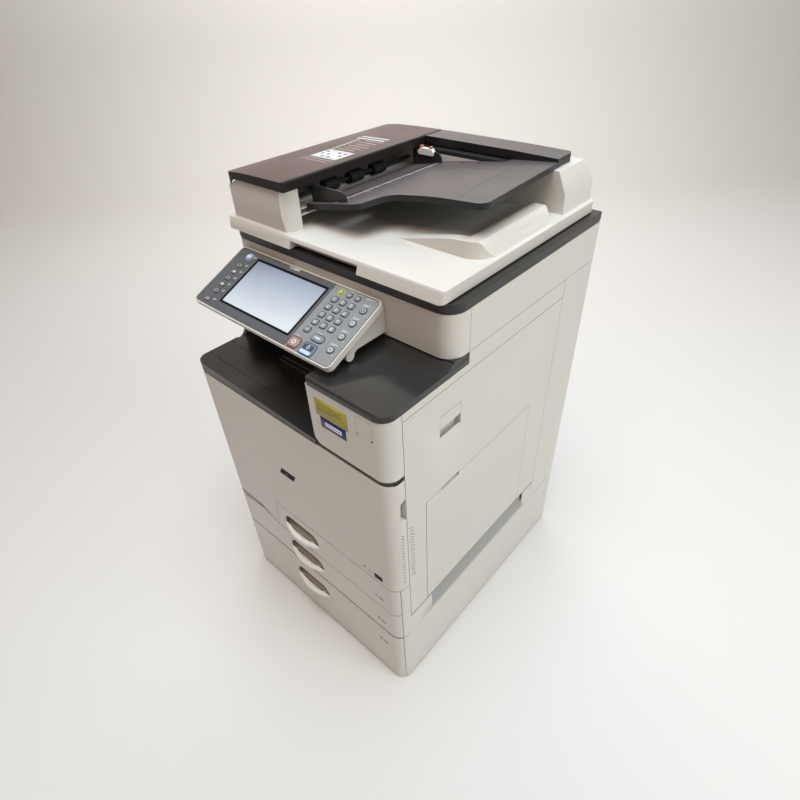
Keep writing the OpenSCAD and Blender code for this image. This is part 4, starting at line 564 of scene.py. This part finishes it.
# strokes of each sign in a square from 0 to 1
GLYPHS = {
    "0": [
        [(0.5, 0), (0.15, 0.1), (0, 0.5), (0.15, 0.9), (0.5, 1)]
        + [(0.85, 0.9), (1, 0.5), (0.85, 0.1), (0.5, 0)],
    ],
    "1": [[(0.5, 0), (0.5, 1), (0.2, 0.78)]],
    "2": [[(0, 0.8), (0.2, 1), (0.8, 1), (1, 0.75), (0, 0), (1, 0)]],
    "3": [[(0, 1), (1, 1), (0.5, 0.6), (1, 0.35), (0.8, 0), (0, 0.05)]],
    "4": [[(0.75, 0), (0.75, 1), (0, 0.32), (1, 0.32)]],
    "5": [[(1, 1), (0.1, 1), (0, 0.55), (0.7, 0.6), (1, 0.3), (0.75, 0), (0, 0)]],
    "6": [[(0.8, 1), (0.1, 0.55), (0.1, 0.15), (0.5, 0), (0.95, 0.15), (0.9, 0.5), (0.1, 0.45)]],
    "7": [[(0, 1), (1, 1), (0.4, 0)]],
    "8": [
        [(0.5, 0.55), (0.1, 0.8), (0.5, 1), (0.9, 0.8), (0.5, 0.55)]
        + [(0.05, 0.25), (0.5, 0), (0.95, 0.25), (0.5, 0.55)],
    ],
    "9": [[(0.2, 0), (0.9, 0.45), (0.9, 0.85), (0.5, 1), (0.05, 0.85), (0.1, 0.5), (0.9, 0.55)]],
    "star": [
        [(0.5, 0.05), (0.5, 0.95)],
        [(0.05, 0.27), (0.95, 0.73)],
        [(0.05, 0.73), (0.95, 0.27)],
    ],
    "hash": [
        [(0.3, 0), (0.4, 1)],
        [(0.65, 0), (0.75, 1)],
        [(0, 0.33), (0.95, 0.33)],
        [(0.05, 0.68), (1, 0.68)],
    ],
}
GLYPH_WIDTH = 0.6  # of its height


def glyph(piece, m, name, cx, cy, h, width, low, high, material):
    """One sign of the given height, centred on a point."""
    for path in GLYPHS[name]:
        points = [(cx + (x - 0.5) * h * GLYPH_WIDTH, cy + (y - 0.5) * h) for x, y in path]
        piece.stroke(m, points, width, low, high, material)


def bars(piece, m, x, y, widths, step, h, low, high, material):
    """Plain bars where print would be."""
    for k, w in enumerate(widths):
        piece.plate(m, rrect(x + w / 2, y - k * step, w, h, h * 0.3), low, high, material)


def screw(piece, m, x, y, r=3.2):
    """Domed head with a cross."""
    slot_length, slot_width = r * 1.3, 0.7
    piece.dome(m, x, y, r, 0.7, STEEL, base=0.05)
    piece.plate(m, rrect(x, y, slot_length, slot_width), 0.5, 0.85, INK)
    piece.plate(m, rrect(x, y, slot_width, slot_length), 0.5, 0.85, INK)


def surface_of(node):
    """Search tree over a CAD solid's own faces, to lay thin pieces on it."""
    mesh = NODES[node].data
    return BVHTree.FromPolygons([v.co for v in mesh.vertices], [p.vertices for p in mesh.polygons])


DRAPE_LIMIT = 0.006  # a sheet whose corners differ more than this in height would hang over an edge
RAY_START = 2  # rays fall from this height, over the whole part


def drape(piece, tree, outline, thick, material, lift=0.0):
    """Thin sheet laid on a surface from above, left out over slots and edges; outline in millimetres."""
    i = piece.index(material)
    down = Vector((0, 0, -1))
    hits = [tree.ray_cast(Vector((x * MM, y * MM, RAY_START)), down)[0] for x, y in outline]
    if None in hits or max(h.z for h in hits) - min(h.z for h in hits) > DRAPE_LIMIT:
        return
    low, high = [], []
    for (x, y), z in zip(outline, (h.z for h in hits)):
        low.append(piece.bm.verts.new((x * MM, y * MM, z + lift * MM)))
        high.append(piece.bm.verts.new((x * MM, y * MM, z + (lift + thick) * MM)))
    piece.slab(low, high, i)


def draped_line(piece, tree, path, width, thick, material, step=8):
    """Thin line laid on a surface, cut into short lengths that follow it."""
    for (x0, y0), (x1, y1) in zip(path, path[1:]):
        d = math.hypot(x1 - x0, y1 - y0)
        n = max(1, round(d / step))
        nx, ny = -(y1 - y0) / d * width / 2, (x1 - x0) / d * width / 2
        for k in range(n):
            ax, ay = x0 + (x1 - x0) * k / n, y0 + (y1 - y0) * k / n
            bx, by = x0 + (x1 - x0) * (k + 1) / n, y0 + (y1 - y0) * (k + 1) / n
            outline = [(ax - nx, ay - ny), (bx - nx, by - ny), (bx + nx, by + ny), (ax + nx, ay + ny)]
            drape(piece, tree, outline, thick, material)


def draped_block(piece, tree, x, y, thick, material, lift=0.0, step=12):
    """Rectangle of thin sheet, cut across its width so that it follows the curve under it."""
    n = max(1, round((x[1] - x[0]) / step))
    for k in range(n):
        x0, x1 = (x[0] + (x[1] - x[0]) * j / n for j in (k, k + 1))
        drape(piece, tree, [(x0, y[0]), (x1, y[0]), (x1, y[1]), (x0, y[1])], thick, material, lift)


# ---------------------------------------------------------------- control panel

TILT = math.radians(24)
BEZEL_THICK = 0.0025


def panel_frame():
    """Work frame on the panel's face, from the housing's lower left corner."""
    up = Vector((0, math.cos(TILT), math.sin(TILT)))
    corner = Vector(PANEL_LOW) - Vector((PANEL_INSET, 0, 0)) - up * PANEL_INSET
    corner.z = PANEL_LOW.z - PANEL_INSET * math.sin(TILT) + BEZEL_THICK * math.cos(TILT)
    return table_frame(corner, (1, 0, 0), up)


# places on the panel, in millimetres along and up its face
PANEL = panel_frame()
SCREEN_MID = (175, 81.5)
PAD_U, PAD_V = (311, 332, 353), (123.5, 105, 86.5, 68)  # columns and rows of the number keys
PAD_NAMES = ("1", "2", "3", "4", "5", "6", "7", "8", "9", "star", "0", "hash")
PAD_KEY = (13, 11)
CLEAR = (PAD_U[0] - 3, 49.5)  # key under the number keys
ROW_U, ROW_V = [u + 1 for u in PAD_U], 142  # three oval keys above the number keys
LEFT_U, LEFT_V = 40, [110 - k * 17.8 for k in range(5)]  # keys left of the screen
LEFT_TOP = (LEFT_U + 3, 137)
LEFT_FOOT = (LEFT_U - 3, 15)
SIDE_U, SIDE_V = 382, [124.5 - k * 30.3 for k in range(4)]  # keys at the right edge
ENTER, STOP, START = (342, 42), (304, 17), (340, 16)
KEY_GAP = 0.6  # between a key and the ring round it
THIN_RING = 1.0
CAP = 1.8  # the caps start this high over the panel's face
KEY_BEVEL = 0.08
PRINT = 0.08  # thickness of the panel's print


def screen_frame():
    p = Piece("screen_frame", "control_panel", "black_part")
    outer, inner = rrect(*SCREEN_MID, 213, 120, 3), rrect(*SCREEN_MID, 203.5, 110.5, 1.5)
    p.ring(PANEL, outer, inner, -0.9, 0.35, PLATE_BLACK)
    p.done(0.12)


def surround(rings, u, v, w, h, r, material=INK, wide=THIN_RING):
    """Raised ring round a key opening."""
    w, h, r = w + 2 * KEY_GAP, h + 2 * KEY_GAP, r + KEY_GAP
    outer, inner = rrect(u, v, w + 2 * wide, h + 2 * wide, r + wide, 6), rrect(u, v, w, h, r, 6)
    height = 0.35 if wide == THIN_RING else 0.6
    rings.ring(PANEL, outer, inner, 0, height, material)


def key_surrounds():
    rings = Piece("key_surrounds", "control_panel", "black_part")
    for u in PAD_U:
        for v in PAD_V:
            surround(rings, u, v, *PAD_KEY, 3)
    surround(rings, *LEFT_TOP, 17, 13, 6.4, PALE_BLUE)
    for v in LEFT_V:
        surround(rings, LEFT_U, v, 11, 9, 2.5)
    surround(rings, *LEFT_FOOT, 12, 9, 2.5)
    for v in SIDE_V:
        surround(rings, SIDE_U, v, 13, 12, 5.9)
    surround(rings, ROW_U[0], ROW_V, 11, 10, 4.9, YELLOW, 1.6)
    for u in ROW_U[1:]:
        surround(rings, u, ROW_V, 11, 10, 4.9)
    surround(rings, *CLEAR, *PAD_KEY, 3)
    surround(rings, *ENTER, 29, 14, 6.9)
    surround(rings, *STOP, 25, 20, 6, RED, 1.8)
    surround(rings, *START, 31, 23, 6, START_BLUE, 1.8)
    rings.done(0.1)


def legend(piece, u, v, widths, h=0.8, step=2.2):
    """Bars where the panel has words."""
    bars(piece, PANEL, u, v, widths, step, h, 0, PRINT, INK_WHITE)


def panel_legends():
    """Legends, small lamps and the blank plate over the screen."""
    p = Piece("panel_legends", "control_panel", "panel_grey")
    for v in LEFT_V:
        legend(p, LEFT_U + 12, v + 6.5, [9, 6], 0.9)
        p.dome(PANEL, LEFT_U - 8.5, v, 1.0, 0.45, INK_WHITE)
    legend(p, LEFT_FOOT[0] + 13, LEFT_FOOT[1] + 6.5, [9, 6], 0.9)
    p.dome(PANEL, LEFT_FOOT[0] - 8.5, LEFT_FOOT[1], 1.0, 0.45, INK_WHITE)
    legend(p, 54, 141, [10, 7], 0.9, 2.4)
    for k, v in enumerate(SIDE_V):
        legend(p, SIDE_U - 10, v + 12.5, [16, 11], 0.9, 2.3)
        p.dome(PANEL, SIDE_U + 9.5, v - 7.5, 0.9, 0.4, GREEN if k == 1 else INK_WHITE)
    for u in ROW_U[1:]:
        legend(p, u - 4, 150, [8])
    legend(p, 366, 150.5, [22, 14])
    legend(p, 292, 31.5, [12])
    legend(p, 330, 52.5, [14])
    legend(p, 302, 58.5, [10])
    p.plate(PANEL, rrect(173, 150.6, 30, 5.2, 1.2), 0, 0.25, PLATE_SILVER)
    p.done(0)


def number_key_marks():
    for index, name in enumerate(PAD_NAMES):
        p = Piece(f"key_{name}_mark", f"key_{name}", "key_grey")
        u, v = PAD_U[index % 3], PAD_V[index // 3]
        p.plate(PANEL, rrect(u, v, 10.6, 8.6, 2.4), CAP, 2.0, KEY_TOP)
        glyph(p, PANEL, name, u - 0.4, v + 0.1, 5.6, 0.95, 2.0, 2.12, INK_WHITE)
        p.done(KEY_BEVEL)


def start_key_mark():
    """Ring and stroke on the cap, over a pale strip."""
    p = Piece("start_key_mark", "start_key", "start_blue")
    u, v = START[0], 19.5
    p.plate(PANEL, rrect(u, v, 25, 10.5, 3.4), CAP, 2.05, START_CAP)
    p.plate(PANEL, rrect(u, 9.2, 25, 6.4, 2.4), CAP, 2.05, PALE_BLUE)
    p.ring(PANEL, oval(u, v, 3.6, 3.6), oval(u, v, 2.7, 2.7), 2.05, 2.2, INK_WHITE)
    p.stroke(PANEL, [(u, 19.3), (u, 24)], 0.9, 2.05, 2.2, INK_WHITE)
    p.done(KEY_BEVEL)


def stop_key_mark():
    p = Piece("stop_key_mark", "stop_key", "start_blue")
    p.plate(PANEL, rrect(*STOP, 20, 15, 4.2), CAP, 2.05, STOP_CAP)
    p.plate(PANEL, diamond(*STOP, 5.4), 2.05, 2.3, INK_WHITE)
    p.plate(PANEL, diamond(*STOP, 2.8), 2.3, 2.4, RED)
    p.done(KEY_BEVEL)


def enter_key_mark():
    p = Piece("enter_key_mark", "enter_key", "key_grey")
    p.plate(PANEL, rrect(*ENTER, 25, 10, 4.8), CAP, 2.05, KEY_TOP)
    p.plate(PANEL, rrect(*ENTER, 14, 3.4, 1.2), 2.05, 2.15, PALE_BLUE)
    p.done(KEY_BEVEL)


def left_key_marks():
    p = Piece("left_key_marks", "left_keys", "key_grey")
    u, v = LEFT_TOP
    p.plate(PANEL, oval(u, v, 7.4, 5.4), CAP, 2.3, PALE_BLUE)
    p.stroke(PANEL, [(u - 3.5, v), (u, v + 3), (u + 3.5, v)], 0.9, 2.3, 2.42, INK_WHITE)
    for k, v in enumerate(LEFT_V):
        p.plate(PANEL, rrect(LEFT_U, v, 9, 7, 2), CAP, 2.0, KEY_TOP)
        p.plate(PANEL, rrect(LEFT_U, v, 4.6, 3.4, 0.6), 2.0, 2.1, INK_WHITE if k % 2 else INK)
    p.plate(PANEL, rrect(*LEFT_FOOT, 10, 7, 2), CAP, 2.0, KEY_TOP)
    p.done(KEY_BEVEL)


def right_key_marks():
    p = Piece("right_key_marks", "right_keys", "key_grey")
    u = SIDE_U
    for k, v in enumerate(SIDE_V):
        p.plate(PANEL, oval(u, v, 5.4, 5.0), CAP, 2.2, PLATE_SILVER)
        if k == 0:
            p.plate(PANEL, oval(u, v, 3.9, 3.6), 2.2, 2.35, INK)
            p.plate(PANEL, [(u - 1.2, v - 2), (u + 2.4, v), (u - 1.2, v + 2)], 2.35, 2.45, INK_WHITE)
        else:
            p.plate(PANEL, rrect(u, v, 5, 1.1, 0.4), 2.2, 2.3, INK)
    first, *others = ROW_U
    p.plate(PANEL, oval(first, ROW_V, 4.4, 3.9), CAP, 2.1, YELLOW)
    for du in (-1.5, 1.5):
        p.plate(PANEL, oval(first + du, ROW_V, 0.8, 0.8, 12), 2.1, 2.2, INK)
    for u in others:
        p.plate(PANEL, oval(u, ROW_V, 4.4, 3.9), CAP, 2.1, KEY_TOP)
        p.plate(PANEL, rrect(u, ROW_V, 4.6, 1.0, 0.3), 2.1, 2.2, INK_WHITE)
    p.plate(PANEL, rrect(*CLEAR, 10.6, 8.6, 2.4), CAP, 2.0, KEY_TOP)
    p.plate(PANEL, rrect(*CLEAR, 5, 1.2, 0.4), 2.0, 2.1, INK_WHITE)
    p.done(KEY_BEVEL)


# ---------------------------------------------------------------- front and right side

# work frames on the front and right faces; their first axis is x or y, their second the height
DOOR_LOW, DOOR_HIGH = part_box("front_door")
FRONT = table_frame((0, DOOR_LOW.y, 0), (1, 0, 0), (0, 0, 1))
RIGHT = table_frame((DOOR_HIGH.x - 0.00015, 0, 0), (0, 1, 0), (0, 0, 1))  # just under the side's face
TRAY_MARK_Z = {1: 327, 2: 232, 3: 139}  # height of each drawer's number
RECESS_Y = 175.5  # rear wall of the hand recess in the side cover


def door_plate():
    """Slanted black plate in a silver rim, with bars on it."""
    p = Piece("door_plate", "front_door", "black_part")
    outer = [(-50, 532), (-1, 532), (10, 554), (-39, 554)]
    inner = [(-48.6, 533), (-1.6, 533), (8.4, 553), (-38.4, 553)]
    p.ring(FRONT, outer, inner, -0.2, 0.7, PLATE_SILVER)
    p.plate(FRONT, [(-48.8, 532.8), (-1.6, 532.8), (8.6, 553.2), (-38.4, 553.2)], -0.2, 0.6, PLATE_BLACK)
    bars(p, FRONT, -28, 543, [7, 4, 9], 2.5, 2.6, 0.6, 0.7, INK_GREY)
    p.done(0.15)


def door_marks():
    p = Piece("door_marks", "front_door", "panel_grey")
    p.plate(FRONT, rrect(240.5, 407, 23, 15, 1), 0, 0.12, PLATE_BLACK)
    p.plate(FRONT, rrect(240.5, 407, 18, 3, 0.6), 0.12, 0.2, INK_GREY)
    p.plate(FRONT, rrect(200, 410, 6, 5, 1), 0, 0.1, INK_GREY)
    bars(p, FRONT, 211, 408, [12], 4, 2.4, 0, 0.1, INK_GREY)
    p.done(0)


def tray_marks():
    """Number and bar on each drawer."""
    for number, z in TRAY_MARK_Z.items():
        p = Piece(f"tray_{number}_mark", f"tray_{number}", "panel_grey")
        glyph(p, FRONT, str(number), 227, z, 9, 1.9, 0, 0.12, INK_GREY)
        p.plate(FRONT, rrect(242, z - 0.5, 15, 4.6, 1.2), 0, 0.12, INK_GREY)
        p.done(0)


def tray_shade():
    """Painted shadow: darker patch at the left end of the second drawer."""
    p = Piece("tray_2_painted_shadow", "tray_2", "white_shell")
    p.plate(FRONT, [(-262, 300), (-262, 321), (-192, 321), (-178, 308)], 0, 0.1, PAINTED_SHADOW_GREY)
    p.done(0)


def recess_painted_shadow():
    """Painted shadow: dark sliver on the rear wall of the side cover's hand recess."""
    p = Piece("recess_painted_shadow", "frame", "black_part")
    wall = table_frame((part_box("right_lower_cover")[1].x, RECESS_Y * MM, 0), (1, 0, 0), (0, 0, 1))
    p.plate(wall, [(-12, 260.5), (-3, 260.5), (-3, 228), (-4.7, 226)], 0, 0.3, BLACK)
    p.done(0)


def column_stickers():
    """Two plain blocks of colour with bars."""
    p = Piece("column_stickers", "frame", "panel_grey")
    p.plate(FRONT, rrect(166, 816, 80, 38, 1.5), 0, 0.15, OLIVE)
    bars(p, FRONT, 132, 827, [62, 54, 60, 38], 5.2, 1.5, 0.15, 0.2, INK)
    p.plate(FRONT, rrect(167, 784.5, 64, 25, 1.2), 0, 0.15, BLUE)
    p.plate(FRONT, rrect(167, 783, 42, 10, 0.8), 0.15, 0.2, INK_WHITE)
    bars(p, FRONT, 150, 783, [34], 3, 1.4, 0.2, 0.24, INK_GREY)
    p.done(0)


def bypass_marks():
    """Ring and arrowhead on the bypass tray."""
    p = Piece("bypass_marks", "bypass_tray", "panel_grey")
    p.ring(RIGHT, oval(-222, 571, 7, 7), oval(-222, 571, 5.6, 5.6), -0.1, 0.1, INK_GREY)
    p.plate(RIGHT, [(-225, 567.5), (-219, 567.5), (-222, 575)], -0.1, 0.1, INK_GREY)
    p.done(0)


# ---------------------------------------------------------------- feeder


def cover_label():
    """White block with bars, rows of small signs and two strips, laid on the curved cover."""
    p = Piece("cover_label", "feed_cover", "pad_white")
    tree = surface_of("adf_feed_cover")
    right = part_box("adf_feed_cover")[1].x / MM
    draped_block(p, tree, (right - 103, right - 28), (-11, 46), 0.12, INK_WHITE)
    for k in range(4):
        for j in range(3):
            x, y = right - 96 + k * 17, -4 + j * 16
            if (k + j) % 3:
                draped_block(p, tree, (x, x + 8), (y, y + 7), 0.06, INK_GREY, 0.12)
    for k in range(6):
        x, y = (right - 92 + k % 2 * 6, right - 44 + k % 3 * 5), 56 + k * 15.5
        draped_block(p, tree, x, (y, y + 5), 0.08, PALE_PRINT)
    for k in range(8):
        x, y = right - 105 - k, 52 + k * 11.5
        draped_block(p, tree, (x, x + 6), (y, y + 7), 0.08, INK_WHITE)
    for y in (146, 161):
        draped_block(p, tree, (right - 123, right - 43), (y, y + 7), 0.12, INK_WHITE)
    for k in range(2):
        y = -22 - k * 11
        draped_block(p, tree, (right - 112, right - 24 - k * 8), (y, y + 3), 0.08, PALE_PRINT)
    p.done(0)


def tray_scale():
    """Size scale along the document tray, and two fine lines on its slope."""
    p = Piece("tray_scale", "input_tray", "pad_white")
    tree = surface_of("adf_input_tray")
    x = -34
    draped_line(p, tree, [(x, -98), (x, 208)], 2.2, 0.12, INK_WHITE)
    for k in range(9):
        y = -84 + k * 32
        draped_line(p, tree, [(x, y), (x + (8 if k % 2 else 14), y)], 1.1, 0.12, INK_WHITE)
    draped_line(p, tree, [(16, 136), (50, 166), (160, 162), (172, 170), (172, 208)], 1.3, 0.05, INK)
    draped_line(p, tree, [(194, -34), (182, 24), (174, 74), (172, 160)], 1.0, 0.05, INK)
    p.done(0)


def fence_clip():
    """White clip with two orange tips on the rear fence."""
    p = Piece("fence_clip", "rear_fence", "pad_white")
    low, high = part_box("rear_fence")
    y = (low.y + high.y) / 2 / MM
    x, z = low.x / MM, high.z / MM
    side = table_frame((0, y * MM, 0), (1, 0, 0), (0, 0, 1))
    shape = [(18, -9), (58, -9), (60, -2), (54, 5), (24, 5), (16, -2)]
    p.plate(side, [(x + dx, z + dz) for dx, dz in shape], -5, 5, PAD)
    for dx in (24, 50):
        p.plate(side, rrect(x + dx, z + 6.5, 7, 6, 2.5), -3.5, 3.5, ORANGE)
    p.done(0.8)


# ---------------------------------------------------------------- inner parts seen through the open doors

BOTTLE_R, BOTTLE_STEP = 38, 96  # in millimetres, as the frame plate's y
BULKHEAD_Y = -291.5


def toner_rings():
    """Coloured rings and grip on the end of each toner bottle."""
    low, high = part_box("toner_bottles")
    ends = table_frame((0, low.y, 0), (1, 0, 0), (0, 0, 1))
    z = (low.z + high.z) / 2 / MM
    p = Piece("toner_rings", "frame", "toner_case")
    for k, colour in enumerate(TONER):
        x = low.x / MM + BOTTLE_R + k * BOTTLE_STEP
        p.ring(ends, oval(x, z, 37.4, 37.4, 48), oval(x, z, 27, 27, 48), -10.6, -9.4, colour)
        p.ring(ends, oval(x, z, 18.4, 18.4, 40), oval(x, z, 12, 12, 40), -0.6, 0.8, colour)
        p.plate(ends, rrect(x, z, 8, 30, 3), -0.4, 1.6, colour)
    p.done(0.25)


def bulkhead_fittings():
    """Screws, a green lever, a latch and a plate with bars on the wall behind the front door."""
    p = Piece("bulkhead_fittings", "frame", "sheet_steel")
    wall = table_frame((0, BULKHEAD_Y * MM, 0), (1, 0, 0), (0, 0, 1))
    for x in range(-270, 231, 100):
        for z in (398, 698):
            screw(p, wall, x, z)
    p.plate(wall, rrect(-40, 445, 150, 26, 6), 0, 5, GREEN)
    p.plate(wall, rrect(-40, 445, 120, 12, 4), 5, 8, WHITE)
    p.plate(wall, rrect(170, 560, 70, 90, 6), 0, 6, DARK)
    p.plate(wall, rrect(170, 560, 46, 14, 5), 6, 12, GREEN)
    bars(p, wall, -262, 560, [60, 48, 54, 30], 6, 2.2, 0, 0.3, INK_GREY)
    p.done(0.4)


# ---------------------------------------------------------------- scanner bed

PANE_LENGTH = 440  # of the main pane; the slit pane lies left of it


def bed_scale():
    """Ticks each 10 mm along two sides of the pane, and the corner arrow."""
    p = Piece("bed_scale", "frame", "panel_grey")
    bed = table_frame((0, 0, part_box("scanner_bezel")[1].z), (1, 0, 0), (0, 1, 0))
    low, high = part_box("platen_glass")
    x0 = high.x / MM - PANE_LENGTH
    y0, y1 = low.y / MM, high.y / MM
    for k in range(44):
        h = 5 if k % 5 == 0 else 2.8
        p.plate(bed, rrect(x0 + 5 + k * 10, y1 + 4 + h / 2, 0.6, h), -0.05, 0.06, INK_WHITE)
    for k in range(31):
        h = 5 if k % 5 == 0 else 2.8
        p.plate(bed, rrect(x0 - 4 - h / 2, y0 + 6 + k * 10, h, 0.6), -0.05, 0.06, INK_WHITE)
    p.plate(bed, [(x0 - 3, y1 + 3), (x0 - 12, y1 + 3), (x0 - 3, y1 + 12)], -0.05, 0.08, INK_WHITE)
    p.done(0)


def carriage_lamp():
    p = Piece("carriage_lamp", "scan_carriage", "pad_white")
    low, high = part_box("scan_carriage")
    top = table_frame((0, 0, high.z), (1, 0, 0), (0, 1, 0))
    y = (low.y + high.y) / 2 / MM
    p.plate(top, rrect(low.x / MM + 19, y, 6, (high.y - low.y) / MM - 50, 2.5), -6, -2.5, PAD)
    p.done(0.5)


# ---------------------------------------------------------------- rear


def rear_screws():
    """Screws of the rear cover, and a blank plate with bars."""
    p = Piece("rear_screws", "frame", "sheet_steel")
    rear = table_frame((0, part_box("rear_cover")[1].y, 0), (-1, 0, 0), (0, 0, 1))
    for columns, rows in (((-268, 268), (215, 420, 640, 860)), ((-90, 90), (215, 860))):
        for x in columns:
            for z in rows:
                screw(p, rear, x, z, 3.6)
    p.plate(rear, rrect(110, 300, 110, 60, 3), 0, 0.3, PLATE_SILVER)
    bars(p, rear, 65, 318, [84, 70, 78, 60, 74], 8, 2.4, 0.3, 0.36, INK_GREY)
    p.done(0.12)


PIECES = (
    screen_frame,
    key_surrounds,
    panel_legends,
    number_key_marks,
    start_key_mark,
    stop_key_mark,
    enter_key_mark,
    left_key_marks,
    right_key_marks,
    door_plate,
    door_marks,
    tray_marks,
    tray_shade,
    recess_painted_shadow,
    column_stickers,
    bypass_marks,
    cover_label,
    tray_scale,
    fence_clip,
    toner_rings,
    bulkhead_fittings,
    bed_scale,
    carriage_lamp,
    rear_screws,
)
for make in PIECES:
    make()

# ---------------------------------------------------------------- stage, light and camera

STAGE_TURN = math.radians(43)  # the backdrop faces the camera


def stage_floor():
    """Floor that bends up into a backdrop."""
    m, tree, shader = new_material("floor_pale")
    shader.inputs["Base Color"].default_value = srgb(222, 221, 219)
    shader.inputs["Roughness"].default_value = 0.9
    mesh = bpy.data.meshes.new("floor")
    bm = bmesh.new()
    size, back, bend, lift, steps = 6.0, 3.2, 1.0, 4.0, 12
    rows = [(-size, 0)]
    for i in range(steps + 1):
        a = math.pi / 2 * i / steps
        rows.append((back + bend * math.sin(a), bend - bend * math.cos(a)))
    rows.append((back + bend, lift))
    previous = None
    for y, z in rows:
        pair = [bm.verts.new((-size, y, z)), bm.verts.new((size, y, z))]
        if previous:
            bm.faces.new([previous[0], previous[1], pair[1], pair[0]])
        previous = pair
    bm.to_mesh(mesh)
    bm.free()
    for p in mesh.polygons:
        p.use_smooth = True
    o = bpy.data.objects.new("floor", mesh)
    mesh.materials.append(m)
    SCENE.collection.objects.link(o)
    o.matrix_world = Matrix.Rotation(STAGE_TURN, 4, "Z")


def lamp(name, place, target, size, watts, colour):
    """Rectangular area lamp that points at the target."""
    data = bpy.data.lights.new(name, "AREA")
    data.shape = "RECTANGLE"
    data.size, data.size_y = size
    data.energy = watts
    data.color = colour
    o = bpy.data.objects.new(name, data)
    SCENE.collection.objects.link(o)
    o.location = place
    o.rotation_euler = (Vector(target) - Vector(place)).to_track_quat("-Z", "Y").to_euler()


def lights():
    """Soft light from above and from the right, a wash on the backdrop and a weak warm fill all round."""
    lamp("key_right", (3.4, 0.4, 2.2), (0, 0, 0.6), (2.4, 2.4), 58, (0.90, 1.0, 1.0))
    lamp("top_front", (0.5, -0.7, 4.2), (0, 0, 0.8), (2.6, 2.6), 108, (1.0, 0.88, 0.73))
    lamp("top_middle", (0.3, 0.0, 4.4), (0, 0, 0.8), (2.0, 2.0), 68, (0.35, 0.68, 1.0))
    lamp("backdrop_wash", (-1.6, 1.6, 3.6), (-2.6, 3.4, 1.0), (2.4, 1.2), 80, (1.0, 0.94, 0.86))
    world = bpy.data.worlds.new("studio")
    SCENE.world = world
    world.use_nodes = True
    background = world.node_tree.nodes["Background"]
    background.inputs["Color"].default_value = (1, 0.74, 0.66, 1)
    background.inputs["Strength"].default_value = 0.22


def camera():
    """Looks down on the front right corner, with a small roll."""
    yaw, pitch, roll = (math.radians(v) for v in (43.14, -38.84, -2.87))
    ahead = Vector((-math.sin(yaw) * math.cos(pitch), math.cos(yaw) * math.cos(pitch), math.sin(pitch)))
    level = ahead.cross(Vector((0, 0, 1))).normalized()
    upward = level.cross(ahead)
    right = level * math.cos(roll) + upward * math.sin(roll)
    up = upward * math.cos(roll) - level * math.sin(roll)
    data = bpy.data.cameras.new("camera")
    data.lens = 24.17
    data.sensor_width = 36
    o = bpy.data.objects.new("camera", data)
    SCENE.collection.objects.link(o)
    turn = Matrix((right, up, -ahead)).transposed().to_4x4()
    o.matrix_world = Matrix.Translation((0.7273, -0.7619, 1.3988)) @ turn
    SCENE.camera = o


stage_floor()
lights()
camera()
SCENE.view_settings.view_transform = "Standard"
